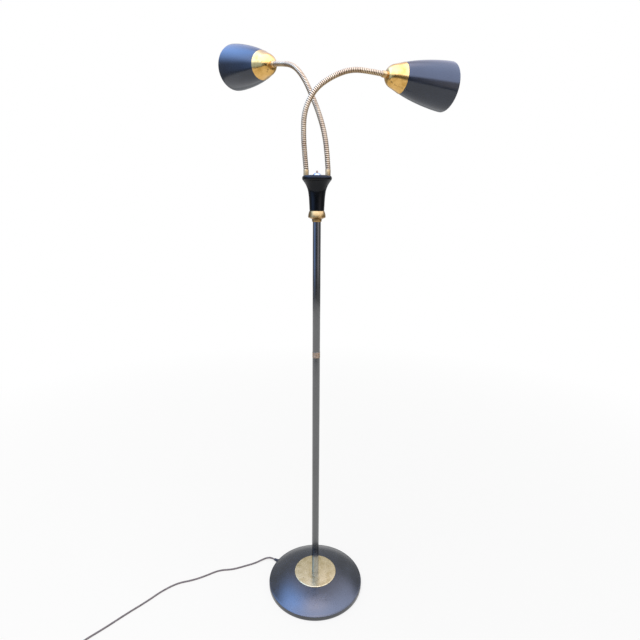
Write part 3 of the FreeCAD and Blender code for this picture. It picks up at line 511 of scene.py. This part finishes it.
def make_lead():
    away = Vector((math.cos(EXIT_ANGLE), math.sin(EXIT_ANGLE), 0))
    sleeve_tip = away * SLEEVE_END + Vector((0, 0, EXIT_HEIGHT))
    plug_low, plug_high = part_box("plug_body")
    plug_mouth = (plug_low.x + PLUG_ENTRY, (plug_low.y + plug_high.y) / 2,
                  (plug_low.z + plug_high.z) / 2)
    route = [tuple(sleeve_tip), tuple(sleeve_tip + away * LEAD_STRAIGHT), *LEAD_POINTS]
    route += coil_points(LEAD_POINTS[-1])
    route.append(plug_mouth)
    data = bpy.data.curves.new("mains_lead", "CURVE")
    data.dimensions = "3D"
    data.bevel_depth = LEAD_RADIUS
    data.bevel_resolution = 5
    data.resolution_u = 8
    data.use_fill_caps = True
    spline = data.splines.new("NURBS")
    spline.points.add(len(route) - 1)
    for point, place in zip(spline.points, route):
        point.co = (*place, 1)
    spline.order_u = 3
    spline.use_endpoint_u = True
    data.materials.append(LEAD_COVER)
    lead = bpy.data.objects.new("mains_lead", data)
    scene.collection.objects.link(lead)
    fit(lead, "stand", "lead_cover", "lead", "lead_coil")


make_lead()
dress(PLUG_BROWN, "plug_body")
dress(PIN_BRASS, "plug_pins")
dress(RELIEF_RUBBER, "lead_relief", "lead_tie")
dress(LEAD_COVER, "lead_inside")

# ---- base ----------------------------------------------------------------------

COVER_WALL = 1.2
DOME_RISE = 4.6
CROWN_RADIUS = 60.0
THREAD_BORE = 5.05
ARC_STEPS = 24


def arc_through(start, end, rise, steps=ARC_STEPS):
    """Points of the circular arc from start to end that bulges by rise to the left of its way,
    both ends included."""
    start, end = np.array(start, float), np.array(end, float)
    half = np.linalg.norm(end - start) / 2
    radius = (half ** 2 + rise ** 2) / (2 * rise)
    way = (end - start) / (2 * half)
    left = np.array([-way[1], way[0]])
    middle = (start + end) / 2 + left * (rise - radius)
    sweep = math.asin(half / radius)
    turn = np.linspace(-sweep, sweep, steps)[:, None]
    return middle + radius * (np.sin(turn) * way + np.cos(turn) * left)


def make_base():
    """Spun cover: upright lip, rounded shoulder, bulging dome and flat crown, one wall thick,
    with the brass disc on it."""
    radius = reach_of("base_cover")
    lip_foot, crown = height_of("base_cover")
    lip_top = lip_foot + 12.6
    shoulder = (radius - 2.2, lip_top)
    dome = arc_through((CROWN_RADIUS, crown), shoulder, DOME_RISE)
    inside = arc_through(
        (radius - COVER_WALL - 2, lip_top - COVER_WALL - 0.4),
        (CROWN_RADIUS, crown - COVER_WALL), -DOME_RISE,
    )
    lip = rounded(
        (radius - 1.1, lip_top - 0.15, 0), (radius, lip_top - 0.7, 0.9), (radius, lip_foot, 0.5),
        (radius - COVER_WALL, lip_foot, 0.5), (radius - COVER_WALL, lip_top - 2.4, 1.0),
    )
    outline = np.vstack([
        [(THREAD_BORE, crown)], dome, lip, inside, [(THREAD_BORE, crown - COVER_WALL)],
    ])
    fit(turned("spun_base_cover", outline, BASE_PAINT, segments=192), "stand", "base_enamel",
        "base_cover")
    disc_low, disc_high = height_of("base_disc")
    disc_radius = reach_of("base_disc")
    disc = rounded(
        (THREAD_BORE, disc_low, 0), (disc_radius, disc_low, 0.2), (disc_radius, disc_high, 1.4),
        (THREAD_BORE, disc_high, 0), steps=7,
    )
    fit(turned("brass_disc", disc, DISC_BRASS, segments=144), "stand", "aged_brass",
        "base_disc")
    dress(FELT, "felt_pad")
    dress(CAST_IRON, "base_weight")
    dress(STEEL, "base_washer", "base_nut", "base_nipple")


make_base()

# ---- pole ----------------------------------------------------------------------

POLE_WALL = 1.2
BAND_GROOVE = 0.5
GROOVE_WIDTH = 1.4


def make_pole():
    """Two enamelled tubes with a grooved brass band where they meet."""
    for node in ("pole_lower", "pole_upper"):
        low, high = height_of(node)
        radius = reach_of(node)
        outline = rounded(
            (radius - POLE_WALL, low, 0), (radius, low, 0.3), (radius, high, 0.3),
            (radius - POLE_WALL, high, 0),
        )
        piece = turned(node + "_tube", outline, POLE_PAINT, segments=64)
        fit(piece, "stand", "pole_enamel", node)
    band_low = height_of("pole_lower")[1]
    band_high = height_of("pole_upper")[0]
    spigot_low, spigot_high = height_of("pole_coupling")
    band = reach_of("pole_coupling")
    spigot = reach_of("pole_lower") - POLE_WALL - 0.05
    ring = (band_high - band_low - 2 * GROOVE_WIDTH) / 3
    corners = [(spigot - 3, spigot_low, 0), (spigot, spigot_low, 0.5), (spigot, band_low, 0),
               (band, band_low, 0.6)]
    for k in (1, 2):
        low = band_low + ring * k + GROOVE_WIDTH * (k - 1)
        corners += [(band, low, 0.5), (band - BAND_GROOVE, low, 0.2),
                    (band - BAND_GROOVE, low + GROOVE_WIDTH, 0.2), (band, low + GROOVE_WIDTH, 0.5)]
    corners += [(band, band_high, 0.6), (spigot, band_high, 0), (spigot, spigot_high, 0.5),
                (spigot - 3, spigot_high, 0)]
    fit(turned("grooved_brass_band", rounded(*corners), BAND_BRASS, segments=64),
        "stand", "aged_brass", "pole_coupling")
    dress(STEEL, "pole_foot_plug", "pole_top_plug")


make_pole()

# ---- head ----------------------------------------------------------------------

# outline of the trumpet: share of its height, share of the way from its low to its top radius
TRUMPET_CURVE = (
    (0.0, 0.0), (0.24, 0.055), (0.44, 0.113), (0.57, 0.18), (0.67, 0.25),
    (0.74, 0.34), (0.8, 0.445), (0.87, 0.59), (0.94, 0.79), (1.0, 1.0),
)
HEAD_LOW = 18.1
HEAD_TOP = 33.2
HEAD_WALL = 3.0
CONE_FLARE = 1.0
COLLAR_DISH = 4.2
COLLAR_BULGE = 0.9
COLLAR_LIP = 0.3


def make_head():
    """Brass cone and collar, the moulded trumpet on them, and its lid with a rounded bead."""
    cone_low, cone_high = height_of("neck_cone")
    cone_reach = reach_of("neck_cone")
    cone = rounded((THREAD_BORE, cone_low, 0), (cone_reach - CONE_FLARE, cone_low, 1.2),
                   (cone_reach, cone_high - 0.02, 0.6), (THREAD_BORE, cone_high - 0.02, 0))
    fit(turned("brass_cone", cone, AGED_BRASS, segments=72), "stand", "aged_brass", "neck_cone")
    collar_low, collar_high = height_of("head_collar")
    wide = reach_of("head_collar")
    rim_height = collar_low + COLLAR_DISH
    side = arc_through((HEAD_LOW + COLLAR_LIP, collar_high), (wide, rim_height), COLLAR_BULGE)
    rim = rounded((wide, rim_height + 0.6, 0), (wide, rim_height, 0.5),
                  (wide - 0.9, rim_height - 0.5, 0))
    collar = np.vstack([
        [(THREAD_BORE, collar_high)], side[:-2], rim,
        [(cone_reach + 0.3, collar_low + 0.02), (THREAD_BORE, collar_low + 0.02)],
    ])
    fit(turned("brass_collar", collar, AGED_BRASS, segments=112), "stand", "aged_brass",
        "head_collar")
    low, high = height_of("head_shell")
    share = np.linspace(0, 1, 49)
    radius = HEAD_LOW + (HEAD_TOP - HEAD_LOW) * smooth_share(TRUMPET_CURVE, share)
    outside = np.stack([radius, low + (high - low) * share], 1)
    inside = outside[:5:-1] - np.array([HEAD_WALL + 0.4, 0])
    inside[0] = (HEAD_TOP - HEAD_WALL, high)
    outline = np.vstack([
        [(THREAD_BORE, low), (HEAD_LOW - 0.6, low)], outside[1:], inside,
        [(HEAD_LOW - HEAD_WALL - 1, low + 4), (THREAD_BORE, low + 4)],
    ])
    fit(turned("trumpet", outline, HEAD_BLACK, segments=128), "stand", "moulded_black",
        "head_shell")
    lid_low, lid_high = height_of("head_lid")
    bead_radius = (lid_high - lid_low) / 2
    bead_reach = reach_of("head_lid")
    turn = np.linspace(-0.5, 0.5, 25) * math.pi
    bead = np.stack([
        bead_reach - 5.2 + 5.2 * np.cos(turn), lid_low + bead_radius * (1 + np.sin(turn)),
    ], 1)
    lid = np.vstack([
        [(0, lid_low + 4), (HEAD_TOP - HEAD_WALL, lid_low + 4), (HEAD_TOP - HEAD_WALL, lid_low)],
        bead, [(bead_reach - 8, lid_high + 0.0), (0, lid_high)],
    ])
    fit(turned("beaded_lid", lid, HEAD_BLACK, segments=128, closed=False), "stand",
        "moulded_black", "head_lid")
    dress(STEEL, "head_nipple", "head_nut", "neck_nuts")
    dress(HOLDER_BROWN, "switch_body")
    bezel_low, bezel_high = height_of("switch_bezel")
    bezel_reach = reach_of("switch_bezel")
    bezel = rounded(
        (4.6, bezel_low, 0), (bezel_reach, bezel_low, 0.3), (bezel_reach, bezel_low + 1.4, 0.7),
        (bezel_reach * 0.72, bezel_high - 1.1, 3.0), (4.0, bezel_high, 0.7), (2.55, bezel_high, 0.3),
        (2.55, bezel_high - 1.4, 0), (4.6, bezel_high - 1.4, 0), steps=7,
    )
    fit(turned("domed_bezel", bezel, NICKEL, segments=72), "stand", "nickel", "switch_bezel")
    push_low, push_high = height_of("switch_button")
    push = reach_of("switch_button")
    button = rounded((0, push_low, 0), (push, push_low, 0.3), (push, push_high, 1.9),
                     (0, push_high, 0), steps=7)
    fit(turned("push_button", button, BUTTON_BRASS, segments=40, closed=False), "button",
        "button_brass", "switch_button")


make_head()

# ---- necks ---------------------------------------------------------------------

NECK_PITCH = 53.0 * MM         # from one pivot to the next
NECK_RADIUS = 6.35 * MM
NECK_LEAN = {"right": -6.0, "left": 5.5}      # lean of each neck at its foot, in degrees
LAST_BEND = {"right": 3.5, "left": 6.5}       # bend of its last stretch
TURN_PITCH = 4.7 * MM          # from one turn of wire to the next
TURN_DEPTH = 0.95 * MM         # valley between two turns
TURN_ROWS = 12                 # rows of points in each turn
NECK_COLUMNS = 36
SPIGOT_LENGTH = 9.0 * MM       # end of the winding inside the neck's foot
SPIGOT_RADIUS = 5.4 * MM
BEND_REACH = 22.0 * MM         # reach from its pivot, read into ends that nothing uses
FOOT_BEND = 6.0 * MM           # reach of the first winding into its foot, read into ends that nothing uses


class Neck:
    """The line of a neck: arcs, each tangent to the next, in one upright plane."""

    def __init__(self, side):
        self.side = side
        places = [j["pos_m"] for j in frame["joints"] if j["name"].startswith(side)]
        self.balls = np.array(places)
        span = self.balls[-1] - self.balls[0]
        span[2] = 0
        self.over = span / np.linalg.norm(span)
        self.up = np.array([0.0, 0.0, 1.0])
        steps = np.diff(self.balls, axis=0)
        chord = np.arctan2(steps @ self.over, steps[:, 2])
        lean = [math.radians(NECK_LEAN[side])]
        for angle in chord:
            lean.append(2 * angle - lean[-1])
        lean.append(lean[-1] + math.radians(LAST_BEND[side]))
        self.lean = np.array(lean)

    def at(self, along):
        """Place, way and the direction across it, at distances along the neck.  Within a stretch
        the lean grows evenly, so its place is the integral of (sin lean, cos lean)."""
        number = np.clip((along // NECK_PITCH).astype(int), 0, len(self.balls) - 1)
        rest = along - number * NECK_PITCH
        rate = (self.lean[number + 1] - self.lean[number]) / NECK_PITCH
        rate = np.where(along < 0, 1e-6, rate)
        start = self.lean[number]
        lean = start + rate * rest
        over = (np.cos(start) - np.cos(lean)) / rate
        rise = (np.sin(lean) - np.sin(start)) / rate
        place = self.balls[number] + over[:, None] * self.over + rise[:, None] * self.up
        way = np.sin(lean)[:, None] * self.over + np.cos(lean)[:, None] * self.up
        across = np.cos(lean)[:, None] * self.over - np.sin(lean)[:, None] * self.up
        return place, way, across

    def end(self):
        """The frame at the neck's end: Z along the neck, X across it."""
        place, way, across = (v[0] for v in self.at(np.array([len(self.balls) * NECK_PITCH])))
        frame_at_end = Matrix.Identity(4)
        for column, axis in enumerate((across, np.cross(way, across), way, place)):
            for row in range(3):
                frame_at_end[row][column] = axis[row]
        return frame_at_end


def winding(neck, number, low, high):
    """A stretch of the wound neck from low to high along it.  Its radius is the neck's less a
    valley that runs round it as a screw: depth * (1/2 + 1/2 cos(turns))^3."""
    rows = np.arange(low, high + TURN_PITCH / TURN_ROWS / 2, TURN_PITCH / TURN_ROWS)
    rows[-1] = high
    angle = 2 * math.pi * np.arange(NECK_COLUMNS) / NECK_COLUMNS
    turns = 2 * math.pi * rows[:, None] / TURN_PITCH + angle
    valley = (0.5 + 0.5 * np.cos(turns)) ** 3
    valley[rows < 0] = 1.0
    radius = np.where(rows[:, None] < 0, SPIGOT_RADIUS, NECK_RADIUS - TURN_DEPTH * valley)
    ends = [0, *range(len(rows)), len(rows) - 1]
    rows, radius, valley = rows[ends], radius[ends].copy(), valley[ends]
    radius[[0, -1]] = 0.0
    place, way, across = neck.at(rows)
    side = np.cross(way, across)
    ring = np.cos(angle)[:, None] * across[:, None] + np.sin(angle)[:, None] * side[:, None]
    points = place[:, None] + radius[..., None] * ring
    own = np.stack([
        radius * np.cos(angle), radius * np.sin(angle), np.repeat(rows[:, None], NECK_COLUMNS, 1),
    ], -1)
    piece = surface(
        "%s_winding_%d" % (neck.side, number), points, own, False, [NECK_BRASS],
        sharp=60.0, valley=valley,
    )
    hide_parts("%s_neck_%d" % (neck.side, number))
    return piece


def make_neck(neck):
    """Seven windings, each running over one pivot from the middle of a stretch to the next."""
    last = len(neck.balls)
    for number in range(1, last + 1):
        pivot = (number - 1) * NECK_PITCH
        low = -SPIGOT_LENGTH if number == 1 else pivot - NECK_PITCH / 2
        high = last * NECK_PITCH if number == last else pivot + NECK_PITCH / 2
        piece = winding(neck, number, low, high)
        reach = FOOT_BEND if number == 1 else BEND_REACH
        ends, way, across = neck.at(np.array([pivot - reach, pivot + BEND_REACH]))
        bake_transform(piece)
    foot_low, foot_high = height_of(neck.side + "_neck_foot")
    foot_top = neck.balls[0][2] / MM
    lid_top = height_of("head_lid")[1]
    reach = NECK_RADIUS / MM
    foot = rounded(
        (2.6, lid_top, 0), (reach, lid_top, 0.2), (reach, foot_top, 0.5), (reach - 0.5, foot_top, 0),
        (reach - 0.5, foot_top - 11, 0), (2.6, foot_top - 11, 0),
    )
    place = Matrix.Translation((neck.balls[0][0], neck.balls[0][1], 0))
    fit(turned(neck.side + "_brass_foot", foot, FERRULE_BRASS, place=place, segments=48), "stand",
        "neck_brass", neck.side + "_neck_foot")


NECKS = {side: Neck(side) for side in SIDES}
for neck in NECKS.values():
    make_neck(neck)

# ---- shades --------------------------------------------------------------------

# outline of a shade: share of its length, share of its mouth radius
SHADE_CURVE = (
    (0.0, 0.235), (0.025, 0.33), (0.069, 0.415), (0.16, 0.5), (0.3, 0.646),
    (0.46, 0.77), (0.64, 0.877), (0.82, 0.956), (0.93, 0.99), (1.0, 1.0),
)
# glass of a bulb: share of its length, share of its radius
BULB_CURVE = (
    (0.0, 0.42), (0.1, 0.44), (0.25, 0.6), (0.42, 0.85), (0.62, 1.0), (0.8, 0.88),
    (0.93, 0.55), (0.985, 0.25), (1.0, 0.0),
)
FERRULE_LENGTH = 13.0
FERRULE_RADIUS = 8.0
SHADE_LENGTH = 173.0
MOUTH_RADIUS = 59.6
SHADE_WALL = 0.8
CAP_LENGTH = 42.0
CAP_LAP = 6.0
CAP_PROUD = 1.05
MOUTH_CURL = 3.2               # how far the mouth curls in
HOLDER_LOW = 16.8
HOLDER_LENGTH = 52.0
HOLDER_RADIUS = 17.5
BULB_CAP_RADIUS = 13.0
GLASS_LOW = 66.8
GLASS_LENGTH = 84.0
GLASS_RADIUS = 30.0


def shade_outline(along):
    """Radius and height of a shade's outside, at distances from its flat end."""
    return np.stack([
        MOUTH_RADIUS * smooth_share(SHADE_CURVE, along / SHADE_LENGTH), FERRULE_LENGTH + along,
    ], -1)


def inset(line, depth):
    """The same line moved to its left."""
    way = np.gradient(line, axis=0)
    way /= np.linalg.norm(way, axis=1)[:, None]
    return line + depth * np.stack([-way[:, 1], way[:, 0]], 1)


def make_shade(side, place):
    """Brass cap and painted shell, each one wall thick; the shell white inside and curled in
    at its mouth."""
    head = side + "_head"
    along = np.linspace(0, CAP_LENGTH - 0.6, 40)
    cap_outside = shade_outline(along)
    cap_outside[:, 0] += CAP_PROUD * np.minimum(1.0, along / (CAP_LENGTH - CAP_LAP - 8))
    cap_inside = inset(cap_outside, SHADE_WALL)[1:]
    lip = arc_through(cap_outside[-1], cap_inside[-1], 0.62, 7)[1:-1]
    cap = np.vstack([
        [(THREAD_BORE, FERRULE_LENGTH)], cap_outside, lip, cap_inside[::-1],
        [(THREAD_BORE, FERRULE_LENGTH + SHADE_WALL)],
    ])
    fit(turned(side + "_brass_cap", cap, CAP_BRASS, place=place, segments=144), head,
        "polished_brass", side + "_shade_cap")
    outside = shade_outline(np.linspace(CAP_LENGTH - CAP_LAP, SHADE_LENGTH - MOUTH_CURL, 90))
    curl = np.linspace(0, 0.5 * math.pi, 11)[1:]
    rim = np.stack([np.cos(curl), np.sin(curl)], 1)
    centre = outside[-1] - np.array([MOUTH_CURL, 0])
    outer_rim = centre + MOUTH_CURL * rim
    inner_rim = centre + (MOUTH_CURL - SHADE_WALL) * rim
    inside = inset(outside, SHADE_WALL)
    shell = np.vstack([outside, outer_rim, inner_rim[::-1], inside[::-1]])
    painted = np.arange(len(shell)) >= len(outside) + len(outer_rim)
    fit(turned(side + "_painted_shade", shell, SHADE_PAINT, WHITE_INSIDE, place=place,
               segments=168, face_material=painted.astype(int)),
        head, "shade_enamel", side + "_shade")


def make_lamp(side, place):
    """Ferrule, moulded lamp holder with its ribbed skirt, and the bulb with its rolled screw cap."""
    head = side + "_head"
    ferrule = rounded(
        (4.2, 0, 0), (FERRULE_RADIUS - 0.9, 0, 0.4), (FERRULE_RADIUS, 1.0, 0.5),
        (FERRULE_RADIUS, FERRULE_LENGTH - 0.05, 0.4), (4.2, FERRULE_LENGTH - 0.05, 0),
    )
    fit(turned(side + "_brass_ferrule", ferrule, FERRULE_BRASS, place=place, segments=56), head,
        "polished_brass", side + "_ferrule")
    top = HOLDER_LOW + HOLDER_LENGTH
    skirt = [(HOLDER_RADIUS, HOLDER_LOW + 10, 2.0)]
    for k in range(6):
        low = HOLDER_LOW + 18 + 4 * k
        skirt += [(HOLDER_RADIUS, low, 0.3), (HOLDER_RADIUS - 0.9, low + 1, 0.5),
                  (HOLDER_RADIUS, low + 2, 0.3)]
    holder = rounded(
        (THREAD_BORE, HOLDER_LOW, 0), (9.0, HOLDER_LOW, 0.6), (9.0, HOLDER_LOW + 9, 0.8), *skirt,
        (HOLDER_RADIUS, top, 0.8), (14.0, top, 0.6), (14.0, HOLDER_LOW + 12, 0),
        (THREAD_BORE, HOLDER_LOW + 12, 0),
    )
    fit(turned(side + "_moulded_holder", holder, HOLDER_BROWN, place=place, segments=80), head,
        "moulded_brown", side + "_lamp_holder")
    share = np.linspace(0, 1, 60)
    glass = np.stack([
        GLASS_RADIUS * smooth_share(BULB_CURVE, share), GLASS_LOW + GLASS_LENGTH * share,
    ], 1)
    glass[:, 0] = np.maximum(glass[:, 0], 0)
    blown = np.vstack([[(0, GLASS_LOW)], glass[:-1], [(0, GLASS_LOW + GLASS_LENGTH)]])
    fit(turned(side + "_opal_bulb", blown, OPAL, place=place, segments=96, closed=False), head,
        "bulb_glass", side + "_bulb_glass")
    dress(ALUMINIUM, side + "_bulb_cap")
    dress(STEEL, side + "_holder_nipple")


for side in SIDES:
    shade_place = NECKS[side].end()
    make_shade(side, shade_place)
    make_lamp(side, shade_place)

# ---- studio --------------------------------------------------------------------

FLOOR_HALF = 9.0
FLOOR_DROP = 0.2 * MM
FADE_START = 0.3               # from the pole, where the floor starts to fade into the white
FADE_END = 2.4
FLOOR_WHITE = 0.72             # share of that white in the floor next to the base
SURROUND_RADIUS = 3.4
SURROUND_MIDDLE = 1.1
SURROUND_FOOT = -18.0          # lowest elevation of the surround, in degrees


def background_share(tree):
    """1 for rays from the camera, mirrored or through glass; 0 for the light that falls on things."""
    path = add(tree, "LightPath")
    share = path.outputs["Is Camera Ray"]
    for kind in ("Is Glossy Ray", "Is Transmission Ray"):
        share = add(tree, "Math", {"operation": "MAXIMUM"}, {0: share, 1: path.outputs[kind]}).outputs[0]
    return share


def make_world():
    """White round about for what the camera sees, directly, mirrored or through glass, and a
    soft grey light for everything else."""
    world = bpy.data.worlds.new("studio")
    scene.world = world
    world.use_nodes = True
    tree = world.node_tree
    tree.nodes.clear()
    soft = add(tree, "Background", None, {"Color": linear("ffffff"), "Strength": 0.42})
    white = add(tree, "Background", None, {"Color": (1, 1, 1, 1), "Strength": 1.0})
    mix = add(tree, "MixShader", None, {
        0: background_share(tree), 1: soft.outputs[0], 2: white.outputs[0],
    })
    add(tree, "OutputWorld", None, {"Surface": mix.outputs[0]})


def make_floor():
    """Pale matt floor that keeps the lamp's shadow and fades into the white further out."""
    corners = [(-FLOOR_HALF, -FLOOR_HALF), (FLOOR_HALF, -FLOOR_HALF),
               (FLOOR_HALF, FLOOR_HALF), (-FLOOR_HALF, FLOOR_HALF)]
    mesh = bpy.data.meshes.new("floor")
    mesh.from_pydata([(x, y, -FLOOR_DROP) for x, y in corners], [], [(0, 1, 2, 3)])
    floor = bpy.data.objects.new("floor", mesh)
    scene.collection.objects.link(floor)
    material, tree, shader = finish("pale_matt_floor", Roughness=0.95, Specular_IOR_Level=0.0)
    shader.inputs["Base Color"].default_value = linear("f4f4f4")
    reach = add(tree, "VectorMath", {"operation": "LENGTH"}, {0: object_coordinates(tree)})
    far = spread(tree, reach.outputs["Value"], FADE_START, FADE_END, FLOOR_WHITE)
    share = add(tree, "Math", {"operation": "MULTIPLY"}, {0: far, 1: background_share(tree)})
    white = add(tree, "Emission", None, {"Color": (1, 1, 1, 1), "Strength": 1.0})
    mix = add(tree, "MixShader", None, {
        0: share.outputs[0], 1: shader.outputs[0], 2: white.outputs[0],
    })
    output = next(n for n in tree.nodes if n.bl_idname == "ShaderNodeOutputMaterial")
    tree.links.new(mix.outputs[0], output.inputs["Surface"])
    mesh.materials.append(material)


def smooth_step(value, low, high):
    """0 below low, 1 above high, and 3t^2 - 2t^3 between."""
    t = np.clip((value - low) / (high - low), 0, 1)
    return t * t * (3 - 2 * t)


def bump_round(angle, middle, width):
    """1 at the middle azimuth, falling off as a Gaussian over width, in degrees."""
    off = (angle - middle + 180) % 360 - 180
    return np.exp(-(off / width) ** 2)


def surround_light(azimuth, elevation):
    """What the gloss of the lamp mirrors, as red, green and blue: dark screens at eye level with
    pale ones left and right of the camera, and a big cool ceiling over them.  Azimuth 0 is the
    camera's side and 90 its right."""
    right = bump_round(azimuth, 48, 24)
    left = bump_round(azimuth, -62, 26)
    far_left = bump_round(azimuth, -105, 45)
    back = bump_round(azimuth, 180, 75)
    edge = 12 + 20 * back + 15 * far_left
    above = smooth_step(elevation, -17, -6)
    soft = 4 + 12 * far_left + 5 * back
    ceiling = smooth_step(elevation, edge - soft, edge + soft)[..., None]
    screen = (0.09 + 0.4 * back)[..., None] * np.array([0.95, 0.98, 1.0])
    screen = screen + (above * right)[..., None] * np.array([0.95, 0.88, 0.9])
    screen = screen + (above * left)[..., None] * np.array([0.45, 0.8, 1.7])
    cool = np.array([2.8, 3.3, 4.9]) * (1 - 0.68 * back[..., None])
    cool = cool + back[..., None] * np.array([0.15, -0.05, -0.4])
    cool = cool + far_left[..., None] * np.array([-0.3, 0.8, 3.2])
    overhead = smooth_step(elevation, 62, 84)[..., None]
    cool = cool * (1 - overhead) + np.array([3.9, 3.9, 5.0]) * overhead
    return screen * (1 - ceiling) + cool * ceiling


def make_surround():
    """A dome round the studio that only shows as reflections: gloss(azimuth, elevation) of
    surround_light on a sphere."""
    azimuth = np.radians(np.arange(0, 360, 3))
    elevation = np.radians(np.linspace(SURROUND_FOOT, 90, 73))
    flat = np.cos(elevation)[:, None]
    points = SURROUND_RADIUS * np.stack([
        flat * np.sin(azimuth), -flat * np.cos(azimuth),
        np.repeat(np.sin(elevation)[:, None], len(azimuth), 1),
    ], -1) + np.array([0, 0, SURROUND_MIDDLE])
    light = surround_light(np.degrees(azimuth)[None, :], np.degrees(elevation)[:, None])
    material = bpy.data.materials.new("studio_screens")
    material.use_nodes = True
    tree = material.node_tree
    tree.nodes.clear()
    channels = [
        add(tree, "Attribute", {"attribute_name": name}).outputs["Fac"]
        for name in ("glow_red", "glow_green", "glow_blue")
    ]
    colour = add(tree, "CombineColor", None, dict(enumerate(channels)))
    glow = add(tree, "Emission", None, {"Color": colour.outputs[0], "Strength": 1.0})
    add(tree, "OutputMaterial", None, {"Surface": glow.outputs[0]})
    dome = surface(
        "studio_surround", points, points, False, [material],
        glow_red=light[..., 0], glow_green=light[..., 1], glow_blue=light[..., 2],
    )
    dome.visible_camera = dome.visible_diffuse = dome.visible_shadow = False
    dome.visible_transmission = dome.visible_volume_scatter = False


def softbox(name, place, aim, width, height, power, colour):
    """A large soft lamp at a place, turned to its aim; the surround stands in for its mirror image."""
    data = bpy.data.lights.new(name, "AREA")
    data.shape = "RECTANGLE"
    data.size, data.size_y = width, height
    data.energy = power
    data.color = linear(colour)[:3]
    lamp = bpy.data.objects.new(name, data)
    lamp.visible_glossy = False
    scene.collection.objects.link(lamp)
    way = Vector(aim) - Vector(place)
    lamp.matrix_world = Matrix.Translation(place) @ way.to_track_quat("-Z", "Y").to_matrix().to_4x4()


make_world()
make_floor()
make_surround()
softbox("ceiling_panel", (-0.4, -0.7, 3.6), (0, 0, 0.6), 3.0, 3.0, 92, "ffffff")

scene.view_settings.view_transform = "Standard"
